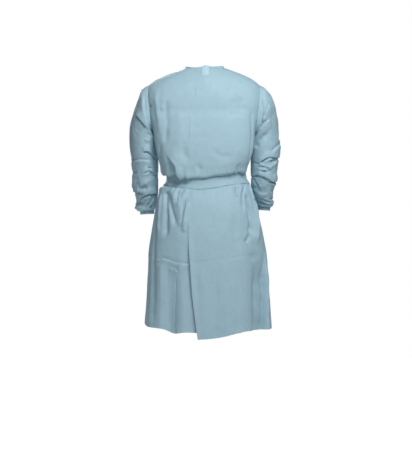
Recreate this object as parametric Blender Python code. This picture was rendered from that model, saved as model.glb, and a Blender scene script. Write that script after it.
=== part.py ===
"""Chemotherapy gown with a full back, in the hollow form that it has when it is worn.

Metres, +Z up, +X to the wearer's right, +Y to the wearer's front, so the closing back faces -Y.
The origin lies between the shoulders, where the wearer carries the gown.

The cloth of the body is one smooth surface. A place on it has two coordinates: turn, the angle
round the body from the centre back (0) by the right side (90) to the centre front (180), and rise,
the way up the cloth from the yoke line. Each panel is cut from that surface and given its wall.
"""

import math

import bmesh
import bpy
import numpy as np

# Cloth and seams
WALL = 0.002
SEAM_GAP = 0.0003
LAYER_GAP = 0.0008
LIFT = WALL + LAYER_GAP

# Body levels
YOKE_Z = -0.170
WAIST_Z = -0.466
ARMPIT_Z = -0.280
ARMHOLE_MIDDLE = 0.010
ARMHOLE_TURN = 58.0
SIDE_TURN = 90.0

# Neck
NECK_MIDDLE = -0.005
NECK_HALF_WIDTH = 0.081
NECK_BACK = 0.066
NECK_FRONT = 0.095
BINDING_WIDTH = 0.011
BINDING_LEAN = 0.28

# Belt
BELT_Z = -0.4515
BELT_WIDTH = 0.045
BELT_WALL = 0.0016
BELT_TILT = 0.004
BELT_SAG = 0.023
BELT_SAG_TURN = -6.0
BELT_SAG_HALF_WIDTH = 36.0
BELT_REACH = 0.12
KNOT_TURN = 205.0
KNOT_SIZE = (0.046, 0.022, 0.050)
KNOT_CLEAR = 0.0052
TAIL_WIDTH = 0.036
TAIL_LENGTH = 0.300
TAIL_SPREAD = 4.4
TAIL_CLEAR = 0.004

# Neck tab
TAB_WIDTH = 0.025
TAB_HEIGHT = 0.062
TAB_WALL = 0.0012
TAB_GAP = 0.0007
TAB_TURN = 0.0
TAB_ROWS = 6

# How far the arm presses the side of the body in: its place and reach in depth
ARM_Y = 0.030
ARM_REACH = 0.070

# Cells across and up each panel
COLUMNS_SIDE = 4
COLUMNS_BACK = (5, 3, 5, 2, 4)
COLUMNS_FRONT = (5, 8, 5)
ROWS_SKIRT = 11
ROWS_BELT = 2
ROWS_BODICE = 6
ROWS_YOKE = 6
SLEEVE_ROWS = 14
TAIL_ROWS = 9

# Numbers of the back's lines of columns at the free edges and at the neck's corners
LEFT_CORNER = COLUMNS_SIDE + COLUMNS_BACK[0]
OVER = LEFT_CORNER + COLUMNS_BACK[1]
UNDER = OVER + COLUMNS_BACK[2]
RIGHT_CORNER = UNDER + COLUMNS_BACK[3]

SECTION_COLUMNS = ("z", "left", "right", "back", "front", "square", "tuck")
SECTIONS = (
    (-1.140, 0.256, 0.272, 0.200, 0.204, 2.3, 0.00),
    (-1.040, 0.250, 0.266, 0.195, 0.198, 2.3, 0.00),
    (-0.910, 0.2416, 0.258, 0.186, 0.190, 2.3, 0.00),
    (-0.775, 0.2375, 0.252, 0.176, 0.180, 2.3, 0.00),
    (-0.660, 0.224, 0.236, 0.166, 0.170, 2.3, 0.02),
    (-0.590, 0.217, 0.225, 0.156, 0.161, 2.3, 0.06),
    (-0.537, 0.204, 0.209, 0.142, 0.150, 2.3, 0.06),
    (-0.502, 0.192, 0.192, 0.128, 0.142, 2.3, 0.03),
    (-0.486, 0.172, 0.179, 0.117, 0.134, 2.2, 0.00),
    (-0.466, 0.157, 0.166, 0.112, 0.130, 2.2, 0.00),
    (-0.446, 0.159, 0.164, 0.114, 0.131, 2.3, 0.00),
    (-0.428, 0.184, 0.168, 0.129, 0.139, 2.6, 0.03),
    (-0.395, 0.198, 0.187, 0.137, 0.144, 3.1, 0.13),
    (-0.330, 0.212, 0.204, 0.139, 0.143, 3.6, 0.175),
    (-0.270, 0.221, 0.210, 0.136, 0.136, 3.7, 0.175),
    (-0.215, 0.231, 0.218, 0.130, 0.126, 3.7, 0.11),
    (-0.170, 0.240, 0.226, 0.122, 0.116, 3.5, 0.04),
    (-0.110, 0.246, 0.232, 0.122, 0.116, 3.5, 0.00),
    (0.040, 0.246, 0.232, 0.122, 0.116, 3.5, 0.00),
)

# The top line of the shoulders: share of the half width, height
SHOULDER_LINE = (
    (0.00, 0.034),
    (0.33, 0.007),
    (0.43, -0.001),
    (0.57, -0.0124),
    (0.70, -0.0248),
    (0.80, -0.0365),
    (0.89, -0.0500),
    (0.96, -0.0640),
    (1.00, -0.0760),
)

# Free edges of the two back panels: height, distance to the right of the middle
OVER_EDGE = (
    (-1.100, -0.026),
    (-1.010, -0.038),
    (-0.910, -0.051),
    (-0.800, -0.060),
    (-0.680, -0.067),
    (-0.500, -0.070),
    (-0.450, -0.071),
    (-0.330, -0.067),
    (-0.248, -0.060),
    (-0.190, -0.053),
    (-0.095, -0.041),
    (-0.030, -0.010),
    (0.010, 0.009),
)
UNDER_EDGE = (
    (-1.100, 0.140),
    (-0.800, 0.130),
    (-0.450, 0.105),
    (-0.250, 0.100),
    (-0.100, 0.075),
    (0.010, 0.050),
)

# Hem heights of the panels: turn in degrees, height
HEM_UNDER = (
    (-90.0, -1.041),
    (-60.0, -1.050),
    (-43.0, -1.054),
    (-29.0, -1.072),
    (-18.0, -1.066),
    (-6.0, -1.068),
    (50.0, -1.070),
)
HEM_SHARED = (
    (-90.0, -1.041),
    (-60.0, -1.050),
    (-43.0, -1.054),
    (-29.0, -1.066),
    (60.0, -1.063),
    (90.0, -1.061),
)
HEM_OVER = (
    (-10.0, -1.094),
    (0.0, -1.092),
    (9.0, -1.088),
    (17.0, -1.081),
    (24.0, -1.073),
    (37.0, -1.063),
    (60.0, -1.063),
    (90.0, -1.061),
)
HEM_FRONT = (
    (90.0, -1.061),
    (130.0, -1.052),
    (180.0, -1.058),
    (230.0, -1.048),
    (270.0, -1.041),
)

# Large soft folds of the body: turn, half width (degrees), depth at the foot (m), top and foot height.
# A depth above 0 stands out.
FLUTES = (
    (-56.0, 11.0, 0.010, -0.560, -1.050),
    (-34.0, 8.0, -0.012, -0.640, -1.050),
    (-20.0, 7.0, 0.006, -0.640, -1.050),
    (30.0, 12.0, 0.005, -0.640, -1.050),
    (52.0, 9.0, -0.012, -0.560, -1.050),
    (74.0, 10.0, 0.008, -0.560, -1.050),
    (112.0, 10.0, -0.013, -0.560, -1.050),
    (138.0, 11.0, 0.016, -0.560, -1.050),
    (163.0, 10.0, -0.011, -0.560, -1.050),
    (190.0, 12.0, 0.013, -0.560, -1.050),
    (216.0, 9.0, -0.012, -0.560, -1.050),
    (238.0, 11.0, 0.014, -0.560, -1.050),
    (262.0, 9.0, -0.010, -0.560, -1.050),
)

SLEEVE_COLUMN_NAMES = ("outer_x", "outer_z", "inner_x", "inner_z", "y", "depth")
SLEEVE_LEFT = (
    (-0.253, -0.088, -0.193, -0.283, 0.000, 0.086),
    (-0.275, -0.129, -0.1925, -0.292, 0.003, 0.084),
    (-0.2975, -0.173, -0.1925, -0.302, 0.007, 0.081),
    (-0.311, -0.222, -0.193, -0.316, 0.011, 0.078),
    (-0.315, -0.272, -0.194, -0.336, 0.015, 0.075),
    (-0.312, -0.326, -0.195, -0.362, 0.018, 0.071),
    (-0.305, -0.372, -0.1955, -0.392, 0.021, 0.067),
    (-0.304, -0.420, -0.196, -0.430, 0.026, 0.064),
    (-0.305, -0.466, -0.197, -0.470, 0.035, 0.062),
    (-0.297, -0.502, -0.198, -0.503, 0.048, 0.058),
    (-0.290, -0.540, -0.203, -0.537, 0.066, 0.053),
    (-0.2945, -0.562, -0.209, -0.560, 0.078, 0.050),
    (-0.290, -0.576, -0.214, -0.574, 0.081, 0.045),
    (-0.2730, -0.583, -0.2175, -0.581, 0.083, 0.034),
)
SLEEVE_RIGHT = (
    (0.243, -0.086, 0.190, -0.283, 0.000, 0.086),
    (0.274, -0.124, 0.187, -0.292, 0.003, 0.084),
    (0.293, -0.172, 0.1855, -0.302, 0.007, 0.081),
    (0.3005, -0.222, 0.1855, -0.316, 0.011, 0.078),
    (0.304, -0.272, 0.186, -0.336, 0.015, 0.075),
    (0.308, -0.322, 0.187, -0.362, 0.018, 0.071),
    (0.302, -0.368, 0.1875, -0.392, 0.021, 0.067),
    (0.2985, -0.420, 0.188, -0.430, 0.026, 0.064),
    (0.293, -0.466, 0.189, -0.466, 0.035, 0.061),
    (0.285, -0.500, 0.194, -0.497, 0.048, 0.056),
    (0.281, -0.530, 0.202, -0.525, 0.066, 0.052),
    (0.284, -0.549, 0.211, -0.543, 0.078, 0.049),
    (0.280, -0.561, 0.217, -0.557, 0.081, 0.043),
    (0.2700, -0.567, 0.2210, -0.564, 0.083, 0.033),
)
SLEEVE_LEAVE = 0.030
ARMHOLE_GAP = 0.0009
CUFF_WIDTH = 0.012
CUFF_GATHER = 0.003

COLOURS = {
    "gown_cloth": (0.44, 0.60, 0.68, 1.0),
    "fastener_tape": (0.58, 0.74, 0.81, 1.0),
}
ROUGHNESS = {"gown_cloth": 0.62, "fastener_tape": 0.75}


def smooth(table_x, table_y, x):
    """Reads a table at x along a smooth curve that never swings past its rows. table_y may hold points."""
    order = np.argsort(table_x)
    xs = np.asarray(table_x, float)[order]
    ys = np.asarray(table_y, float)[order]
    flat = ys.reshape(len(xs), -1)
    step = np.diff(xs)[:, None]
    slope = np.diff(flat, axis=0) / step
    same_way = slope[:-1] * slope[1:] > 0
    harmonic = 2 * slope[:-1] * slope[1:] / np.where(same_way, slope[:-1] + slope[1:], 1.0)
    tangent = np.vstack([slope[:1], np.where(same_way, harmonic, 0.0), slope[-1:]])
    x = np.clip(np.asarray(x, float), xs[0], xs[-1])
    i = np.clip(np.searchsorted(xs, x) - 1, 0, len(xs) - 2)
    s = ((x - xs[i]) / step[i, 0])[..., None]
    h = step[i]
    value = (
        flat[i] * (1 + 2 * s) * (1 - s) ** 2
        + tangent[i] * h * s * (1 - s) ** 2
        + flat[i + 1] * s**2 * (3 - 2 * s)
        + tangent[i + 1] * h * s**2 * (s - 1)
    )
    return value.reshape(x.shape + ys.shape[1:])


def column(table, index):
    """One column of a table."""
    return [row[index] for row in table]


def section(name, z):
    """A value of the body's sections at height z."""
    return smooth(column(SECTIONS, 0), column(SECTIONS, SECTION_COLUMNS.index(name)), z)


def ease(value, start, end):
    """0 before start, 1 after end, and a soft step between them."""
    s = np.clip((value - start) / (end - start), 0.0, 1.0)
    return s * s * (3 - 2 * s)


def round_shape(turn, square):
    """The share of the half width and of the depth at that turn, on a squared ellipse."""
    across, back = np.sin(np.radians(turn)), np.cos(np.radians(turn))
    size = (np.abs(across) ** square + np.abs(back) ** square) ** (1 / square)
    return across / size, back / size


def yoke_height(turn):
    """Height of the shoulder line above the yoke line, over that turn."""
    across, _ = round_shape(turn, section("square", YOKE_Z))
    return smooth(column(SHOULDER_LINE, 0), column(SHOULDER_LINE, 1), np.abs(across)) - YOKE_Z


def height_of(turn, rise):
    """World height of a place on the cloth."""
    top = yoke_height(turn)
    over = np.maximum(rise, 0.0)
    return YOKE_Z + np.minimum(rise, 0.0) + top * np.sin(over / top)


def belt_height(turn):
    """Height of the belt's middle line, which sags behind."""
    away = (turn - BELT_SAG_TURN + 180.0) % 360.0 - 180.0
    return BELT_Z + BELT_TILT * np.sin(np.radians(turn)) - BELT_SAG * np.exp(-((away / BELT_SAG_HALF_WIDTH) ** 2))


def flute_depth(turn, z):
    """How far the large folds move the cloth out."""
    depth = np.zeros_like(z)
    for middle, half_width, most, top, foot in FLUTES:
        away = (turn - middle + 180.0) % 360.0 - 180.0
        depth += most * np.exp(-((away / half_width) ** 2)) * ease(-z, -top, -foot)
    return depth


def body(turn, rise, folds=True):
    """Points of the body's outer surface."""
    turn, rise = np.broadcast_arrays(np.asarray(turn, float), np.asarray(rise, float))
    z = height_of(turn, rise)
    level = z - (belt_height(turn) - WAIST_Z) * np.exp(-(((z - WAIST_Z) / BELT_REACH) ** 2))
    across, back = round_shape(turn, section("square", level))
    dome = np.cos(np.maximum(rise, 0.0) / yoke_height(turn))
    depth = np.where(back > 0, section("back", level), section("front", level))
    width = np.where(across < 0, section("left", level), section("right", level))
    if folds:
        out = flute_depth(turn, z)
        depth, width = depth + out, width + out
    y = -depth * back * dome
    press = 1 - section("tuck", level) * np.exp(-(((y - ARM_Y) / ARM_REACH) ** 2))
    return np.stack([width * across * press, y, z], axis=-1)


def outward(surface, a, b, step_a=0.05, step_b=0.0005):
    """Unit normals of a surface, by small steps of its two coordinates."""
    along = surface(a + step_a, b) - surface(a - step_a, b)
    up = surface(a, b + step_b) - surface(a, b - step_b)
    normal = np.cross(along, up)
    return normal / np.maximum(np.linalg.norm(normal, axis=-1, keepdims=True), 1e-12)


def turn_at(x, z):
    """The turn on the back at which the cloth lies that far to the right of the middle."""
    width = np.where(x < 0, section("left", z), section("right", z))
    square = section("square", z)
    share = np.clip(np.abs(x) / width, 0.0, 0.999)
    return np.degrees(np.sign(x) * np.arctan2(share, (1 - share**square) ** (1 / square)))


def free_edge(table, z):
    """Turn of a back panel's free edge at height z."""
    return turn_at(smooth(column(table, 0), column(table, 1), z), z)


def neck_rise(turn):
    """How far up the cloth the neckline is, or the shoulder seam beyond the neck."""
    top = yoke_height(turn)
    across, back = round_shape(turn, section("square", YOKE_Z))
    width = np.where(across < 0, section("left", 0.0), section("right", 0.0))
    depth = np.where(back > 0, section("back", 0.0), section("front", 0.0))
    opening = np.where(back > 0, NECK_BACK, NECK_FRONT)
    share = np.clip(1 - ((across * width - NECK_MIDDLE) / NECK_HALF_WIDTH) ** 2, 0.0, 1.0)
    level = np.clip(opening * share**0.46 / np.maximum(depth * np.abs(back), 1e-6), 0.0, 1.0)
    return top * np.arccos(level)


def armhole_rise(turn):
    """How far up the cloth the lower half of the armhole is, between its back edge and the side."""
    from_side = np.abs(np.abs((turn + 180.0) % 360.0 - 180.0) - SIDE_TURN)
    share = np.clip(from_side / (SIDE_TURN - ARMHOLE_TURN), 0.0, 1.0)
    drop = ARMHOLE_MIDDLE - (ARMPIT_Z - YOKE_Z)
    return ARMHOLE_MIDDLE - drop * np.sqrt(1 - share**2)


def hem_rise(table, turn):
    """How far down the cloth the hem is, from a hem table."""
    return smooth(column(table, 0), column(table, 1), turn) - YOKE_Z


def cloth(outer, inner, cells, closed=False):
    """A mesh with a wall between two grids of points, over the cells that are there."""
    columns, rows = outer.shape[:2]
    count = columns * rows
    mesh = bmesh.new()
    places = np.concatenate([outer.reshape(-1, 3), inner.reshape(-1, 3)])
    faces, edges = [], {}
    for i, j in np.argwhere(cells):
        k = (i + 1) % columns if closed else i + 1
        ring = (i * rows + j, k * rows + j, k * rows + j + 1, i * rows + j + 1)
        for face in (ring[:3], (ring[0], ring[2], ring[3])):
            faces.append(face)
            faces.append(tuple(v + count for v in reversed(face)))
        for a, b in zip(ring, ring[1:] + ring[:1]):
            edges[a, b] = None
    for a, b in edges:
        if (b, a) not in edges:
            faces.append((b, a, a + count, b + count))
    used = sorted({v for face in faces for v in face})
    vertices = {v: mesh.verts.new(places[v]) for v in used}
    for face in faces:
        mesh.faces.new([vertices[v] for v in face])
    if mesh.calc_volume(signed=True) < 0:
        bmesh.ops.reverse_faces(mesh, faces=mesh.faces)
    return mesh


def finish(name, mesh, material):
    """Turns a bmesh into a smooth-shaded object with its material."""
    data = bpy.data.meshes.new(name)
    mesh.to_mesh(data)
    mesh.free()
    data.shade_smooth()
    data.set_sharp_from_angle(angle=math.radians(50))
    data.materials.append(material)
    piece = bpy.data.objects.new(name, data)
    bpy.context.scene.collection.objects.link(piece)
    return piece


def between(stops, spans):
    """The values at every line of a grid. stops holds the values at each line that is named, and spans the
    shares of the way at which the lines stand, from each of the named ones to the next."""
    lines = [(n, share) for n, span in enumerate(spans) for share in span] + [(len(spans) - 1, 1.0)]
    return np.stack([stops[n][i] + (stops[n + 1][i] - stops[n][i]) * share for i, (n, share) in enumerate(lines)])


def even(count):
    """Shares for lines that stand evenly."""
    return np.arange(count) / count


def dense(count):
    """Shares for lines that stand closer together near the start."""
    return even(count) ** 1.4


def side_lines(from_side):
    """Shares for the lines between the side and the armhole, which space the armhole's curve evenly."""
    bend = np.radians(90.0 * even(COLUMNS_SIDE))
    return np.sin(bend) if from_side else 1 - np.cos(bend)


def neck_stop(side, z):
    """Turn of the line of columns that ends at the neck's corner."""
    corner = turn_at(NECK_MIDDLE + side * NECK_HALF_WIDTH, 0.0)
    return side * 44.0 + (corner - side * 44.0) * ease(z, -0.22, -0.01)


def belt_line(turn, across):
    """How far down the cloth the belt is. across runs from 0 at its lower edge to 1 at its upper edge."""
    return belt_height(turn) + (across - 0.5) * BELT_WIDTH - YOKE_Z


def panel_grid(counts, stops_at, hem):
    """Turns, rises and cells of the grid of the front or of the whole back. stops_at gives, for heights, the turns
    of the side seams, the armholes, the neck's corners and any free edge. The columns at the sides end at the
    armholes."""
    spans = [side_lines(True), *map(even, counts), side_lines(False)]
    rows = (ROWS_SKIRT, ROWS_BELT, ROWS_BODICE, ROWS_YOKE)
    columns = sum(counts) + 2 * COLUMNS_SIDE + 1
    yoke = np.zeros(columns, bool)
    yoke[COLUMNS_SIDE:columns - COLUMNS_SIDE] = True
    z = np.zeros((columns, sum(rows) + 1))
    for _ in range(8):
        turn = between([stop + 0 * z for stop in stops_at(z)], spans)
        middle = np.where(yoke[:, None], ARMHOLE_MIDDLE, armhole_rise(turn))
        lines = [hem_rise(hem, turn), belt_line(turn, 0.0), belt_line(turn, 1.0), middle, neck_rise(turn)]
        rise = between([line.T for line in lines], [1 - (1 - even(ROWS_SKIRT)) ** 1.4, even(ROWS_BELT), dense(ROWS_BODICE), even(ROWS_YOKE)]).T
        z = height_of(turn, rise)
    cells = np.ones((columns - 1, sum(rows)), bool)
    cells[:COLUMNS_SIDE, sum(rows[:3]):] = False
    cells[-COLUMNS_SIDE:, sum(rows[:3]):] = False
    return turn, rise, cells


def pull_in(points, cells):
    """Moves a panel's seam edges in by half the seam gap, along the cloth."""
    moved = points.copy()
    half = SEAM_GAP / 2 + 0.00005
    columns, rows = points.shape[:2]
    present = np.zeros((columns, rows, 4), bool)
    present[:-1, :-1, 0] = cells
    present[1:, :-1, 1] = cells
    present[1:, 1:, 2] = cells
    present[:-1, 1:, 3] = cells
    for i in range(columns):
        for j in range(rows):
            right_up, left_up, left_down, right_down = present[i, j]
            if not present[i, j].any():
                continue
            if not (right_up or right_down):
                step = points[i - 1, j] - points[i, j]
                moved[i, j] += step / np.linalg.norm(step) * half
            elif not (left_up or left_down):
                step = points[i + 1, j] - points[i, j]
                moved[i, j] += step / np.linalg.norm(step) * half
            if not (left_up or right_up):
                step = points[i, j - 1] - points[i, j]
                moved[i, j] += step / np.linalg.norm(step) * half
            elif present[i, j].sum() == 3:
                sides = (points[i - 1, j] if not right_up else points[i + 1, j]) - points[i, j]
                moved[i, j] += sides / np.linalg.norm(sides) * half
                step = points[i, j - 1] - points[i, j]
                moved[i, j] += step / np.linalg.norm(step) * half
    return moved


def over_lift(turn, z):
    """How far the over panel stands out, on the under panel, before it comes back to the body."""
    under = free_edge(UNDER_EDGE, z)
    return LIFT * (1 - ease(turn, under + 7.0, under + 20.0)) * ease(turn, -SIDE_TURN, -ARMHOLE_TURN)


def no_lift(turn, z):
    """A panel that lies on the body surface itself."""
    return np.zeros_like(turn + z)


def with_hem(turn, rise, hem):
    """The rises with the lowest row moved to a panel's own hem."""
    moved = rise.copy()
    moved[:, 0] = hem_rise(hem, turn[:, 0])
    return moved


def make_panel(name, grid, hem, lift, material):
    """One panel, from its part of a grid."""
    turn, rise, cells = grid
    rise = with_hem(turn, rise, hem)
    normal = outward(body, turn, rise)
    points = body(turn, rise) + normal * lift(turn, height_of(turn, rise))[..., None]
    points = pull_in(points, cells)
    finish(name, cloth(points, points - normal * WALL, cells), material)


def make_panels(material):
    """The front and the two back panels, which overlap behind and share their grid there. Returns both grids."""
    front = panel_grid(
        COLUMNS_FRONT,
        lambda z: (
            SIDE_TURN,
            180.0 - ARMHOLE_TURN,
            180.0 - neck_stop(1, z),
            180.0 - neck_stop(-1, z),
            180.0 + ARMHOLE_TURN,
            180.0 + SIDE_TURN,
        ),
        HEM_FRONT,
    )
    make_panel("front", front, HEM_FRONT, no_lift, material)
    back = panel_grid(
        COLUMNS_BACK,
        lambda z: (
            -SIDE_TURN,
            -ARMHOLE_TURN,
            neck_stop(-1, z),
            free_edge(OVER_EDGE, z),
            free_edge(UNDER_EDGE, z),
            neck_stop(1, z),
            ARMHOLE_TURN,
            SIDE_TURN,
        ),
        HEM_SHARED,
    )
    turn, rise, cells = back
    make_panel("back_right", (turn[OVER:], rise[OVER:], cells[OVER:]), HEM_OVER, over_lift, material)
    make_panel("back_left", (turn[:UNDER + 1], rise[:UNDER + 1], cells[:UNDER]), HEM_UNDER, no_lift, material)
    return back, front


def armhole(side, around):
    """Points of an armhole seam. side is 1 for the right and -1 for the left; around is 0 at the shoulder,
    90 at the back, 180 under the arm and 270 at the front."""
    quarter = np.where(around <= 180.0, around, 360.0 - around)
    upper = quarter <= 90.0
    bend = np.radians(np.clip(quarter - 90.0, 0.0, 90.0))
    from_side = (SIDE_TURN - ARMHOLE_TURN) * np.cos(bend)
    turn = np.where(around <= 180.0, SIDE_TURN - from_side, SIDE_TURN + from_side)
    top = neck_rise(np.where(around <= 180.0, ARMHOLE_TURN, 180 - ARMHOLE_TURN))
    drop = ARMHOLE_MIDDLE - (ARMPIT_Z - YOKE_Z)
    rise = np.where(
        upper,
        top + (ARMHOLE_MIDDLE - top) * quarter / 90.0,
        ARMHOLE_MIDDLE - drop * np.sin(bend),
    )
    return body(side * turn, rise)


def sleeve_surface(side, table):
    """The sleeve as a function of (around, along). along counts the table's rows, 0 at the armhole."""
    rows = np.array(table)
    rings = np.concatenate([rows[:1], rows])
    leave = np.array([side * 0.92, 0.0, -0.40]) * SLEEVE_LEAVE

    def surface(around, along):
        around, along = np.broadcast_arrays(np.asarray(around, float), np.asarray(along, float))
        cosine, sine = np.cos(np.radians(around)), np.sin(np.radians(around))
        stops = np.arange(len(rings))
        value = smooth(stops, rings, np.maximum(along, 0.0))
        outer_x, outer_z, inner_x, inner_z, middle_y, depth = np.moveaxis(value, -1, 0)
        ring = np.stack(
            [
                (outer_x + inner_x) / 2 + (outer_x - inner_x) / 2 * cosine,
                middle_y - depth * sine,
                (outer_z + inner_z) / 2 + (outer_z - inner_z) / 2 * cosine,
            ],
            axis=-1,
        )
        start = armhole(side, around % 360.0) + leave * along[..., None]
        share = (1 - ease(along, 0.0, 3.0))[..., None]
        return ring + (start - ring) * share

    return surface


def make_sleeve(name, side, table, material):
    """A sleeve as one tube with a wall, from the armhole seam to the cuff seam."""
    surface = sleeve_surface(side, table)
    quarters = (even(ROWS_YOKE), 1 + even(COLUMNS_SIDE), 2 + even(COLUMNS_SIDE), 3 + even(ROWS_YOKE))
    around = 90.0 * np.concatenate(quarters)[:, None]
    along = np.linspace(0.0, len(table), SLEEVE_ROWS + 1)[None, :]
    around, along = np.broadcast_arrays(around, along)
    points = surface(around, along)
    normal = outward(surface, around, along, step_a=1.0, step_b=0.02)
    normal = np.where((np.sum(normal * (points - points.mean(axis=0)), axis=-1) < 0)[..., None], -normal, normal)
    first = points[:, 1] - points[:, 0]
    points = points.copy()
    points[:, 0] += first / np.linalg.norm(first, axis=-1, keepdims=True) * ARMHOLE_GAP
    cells = np.ones((len(points), SLEEVE_ROWS), bool)
    finish(name, cloth(points, points - normal * WALL, cells, closed=True), material)
    return points


def make_cuff(name, sleeve, material):
    """The gathered elastic casing below a sleeve's end."""
    end = sleeve[:, -1]
    middle = end.mean(axis=0)
    out = (end - middle) / np.linalg.norm(end - middle, axis=-1, keepdims=True)
    gather = np.where(np.arange(len(end)) % 2 == 0, 0.0, -CUFF_GATHER)[:, None]
    down = np.array([0.0, 0.0, -1.0])
    drops = (SEAM_GAP + 0.0001, CUFF_WIDTH / 2, CUFF_WIDTH)
    outer = np.stack([end + down * drop + out * (gather * drop / CUFF_WIDTH) for drop in drops], axis=1)
    inner = outer - out[:, None] * WALL
    cells = np.ones((len(end), len(drops) - 1), bool)
    finish(name, cloth(outer, inner, cells, closed=True), material)


def make_belt(back, front, material):
    """The belt, a flat band round the waist, from the columns of the panels that it lies on."""
    rows = slice(ROWS_SKIRT, ROWS_SKIRT + ROWS_BELT + 1)
    turn, rise = (np.concatenate([back[n][:-1, rows], front[n][:-1, rows]]) for n in (0, 1))
    lift = over_lift(turn, height_of(turn, rise))
    lift[:OVER - 1] = 0.0
    lift[len(back[0]):] = 0.0
    inner = body(turn, rise) + outward(body, turn, rise) * (lift + LAYER_GAP)[..., None]
    normal = outward(body, turn, rise)
    cells = np.ones((len(turn), ROWS_BELT), bool)
    finish("belt", cloth(inner + normal * BELT_WALL, inner, cells, closed=True), material)


def make_knot_and_tails(material):
    """The belt's knot at the front, and the two tails that hang from it."""
    rise = belt_line(KNOT_TURN, 0.5)
    middle = body(KNOT_TURN, rise)
    out = outward(body, np.array(KNOT_TURN), rise)
    out = out * np.array([1.0, 1.0, 0.0]) / np.hypot(out[0], out[1])
    place = middle + out * (LAYER_GAP + BELT_WALL + KNOT_CLEAR + KNOT_SIZE[1] / 2)
    mesh = bmesh.new()
    bmesh.ops.create_cube(mesh, size=1.0)
    bmesh.ops.scale(mesh, vec=KNOT_SIZE, verts=mesh.verts)
    bmesh.ops.bevel(mesh, geom=mesh.edges[:], offset=0.009, segments=2, affect="EDGES", profile=0.5)
    knot = finish("belt_knot", mesh, material)
    knot.location = place
    knot.rotation_euler = (0.0, 0.0, math.atan2(-out[0], out[1]))
    share = np.linspace(1.0, 0.0, TAIL_ROWS)[None, :]
    foot = place[2] - KNOT_SIZE[2] / 2 - SEAM_GAP - 0.0003
    for name, way, length in (("belt_tail_left", 1.0, TAIL_LENGTH), ("belt_tail_right", -1.0, 0.88 * TAIL_LENGTH)):
        half_turn = math.degrees(TAIL_WIDTH / 2 / 0.16)
        turn = KNOT_TURN + way * (half_turn * 0.62 + TAIL_SPREAD * share) + np.linspace(-0.5, 0.5, 4)[:, None] * half_turn
        rise = foot - share * length - YOKE_Z + 0 * turn
        clear = TAIL_CLEAR + KNOT_SIZE[1] / 2 * np.exp(-share / 0.08) + 0 * turn
        level = outward(body, turn, rise) * np.array([1.0, 1.0, 0.0])
        inner = body(turn, rise) + level * clear[..., None]
        cells = np.ones((3, TAIL_ROWS - 1), bool)
        finish(name, cloth(inner + level * BELT_WALL, inner, cells), material)


def neck_frame(turn, rise):
    """Points of a neckline, and the ways that the binding stands up and faces there."""
    base = body(turn, rise)
    along = np.gradient(base, axis=0)
    along /= np.linalg.norm(along, axis=-1, keepdims=True)
    to_middle = np.array([NECK_MIDDLE, 0.0, 0.0]) - base * np.array([1.0, 1.0, 0.0])
    to_middle /= np.linalg.norm(to_middle, axis=-1, keepdims=True)
    up = to_middle * BINDING_LEAN + np.array([0.0, 0.0, 1.0])
    up -= along * np.sum(up * along, axis=-1, keepdims=True)
    up /= np.linalg.norm(up, axis=-1, keepdims=True)
    return base, up, np.cross(along, up)


def make_binding(back, front, material):
    """The narrow binding that stands on the neckline's points, from the over end round the front to the under end."""
    top = slice(COLUMNS_SIDE + COLUMNS_FRONT[0], COLUMNS_SIDE + COLUMNS_FRONT[0] + COLUMNS_FRONT[1])
    turn, rise = (
        np.concatenate([back[n][OVER:RIGHT_CORNER, -1], front[n][top, -1], back[n][LEFT_CORNER:UNDER + 1, -1]])
        for n in (0, 1)
    )
    base, up, face = neck_frame(turn, rise)
    place = np.arange(len(base))
    out = over_lift(turn, height_of(turn, rise)) * (place <= RIGHT_CORNER - OVER)
    foot = base + up * (SEAM_GAP + 0.0004) + outward(body, turn, rise) * out[:, None]
    heights = np.array([0.0, BINDING_WIDTH / 2, BINDING_WIDTH])
    outer = foot[:, None] + up[:, None] * heights[None, :, None]
    cells = np.ones((len(base) - 1, len(heights) - 1), bool)
    finish("neck_binding", cloth(outer, outer - face[:, None] * WALL, cells), material)


def make_tab(material):
    """The hook and loop tab that closes the neck: it lies on the over panel's corner and on its binding."""
    half_turn = turn_at(TAB_WIDTH / 2, 0.0)
    turn = TAB_TURN + np.linspace(-half_turn, half_turn, 5)
    base, up, face = neck_frame(turn, neck_rise(turn))
    turn = turn[:, None] + np.zeros(TAB_ROWS)
    drop = np.linspace(TAB_HEIGHT - BINDING_WIDTH, 0.0, TAB_ROWS)
    rise = neck_rise(turn) - drop
    normal = outward(body, turn, rise)
    lift = over_lift(turn, height_of(turn, rise))
    bend = (normal[:, -1] + face) / np.linalg.norm(normal[:, -1] + face, axis=-1, keepdims=True)
    facing = np.concatenate([normal[:, :-1], bend[:, None], face[:, None]], axis=1)
    foot = base + normal[:, -1] * lift[:, -1:]
    rows = body(turn, rise) + normal * lift[..., None]
    rows = np.concatenate([rows, (foot + up * BINDING_WIDTH)[:, None]], axis=1)
    inner = rows + facing * TAB_GAP
    cells = np.ones((len(inner) - 1, TAB_ROWS), bool)
    finish("neck_tab", cloth(inner + facing * TAB_WALL, inner, cells), material)


def make_material(name):
    """A Principled material of the gown."""
    material = bpy.data.materials.new(name)
    material.use_nodes = True
    shader = material.node_tree.nodes["Principled BSDF"]
    shader.inputs["Base Color"].default_value = COLOURS[name]
    shader.inputs["Roughness"].default_value = ROUGHNESS[name]
    shader.inputs["Metallic"].default_value = 0.0
    return material


def main():
    """Clears the scene and builds the gown."""
    for old in list(bpy.data.objects):
        bpy.data.objects.remove(old, do_unlink=True)
    gown_cloth = make_material("gown_cloth")
    back, front = make_panels(gown_cloth)
    for name, side, table in (("left", -1, SLEEVE_LEFT), ("right", 1, SLEEVE_RIGHT)):
        sleeve = make_sleeve("sleeve_" + name, side, table, gown_cloth)
        make_cuff("cuff_" + name, sleeve, gown_cloth)
    make_belt(back, front, gown_cloth)
    make_knot_and_tails(gown_cloth)
    make_binding(back, front, gown_cloth)
    make_tab(make_material("fastener_tape"))


main()
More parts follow.
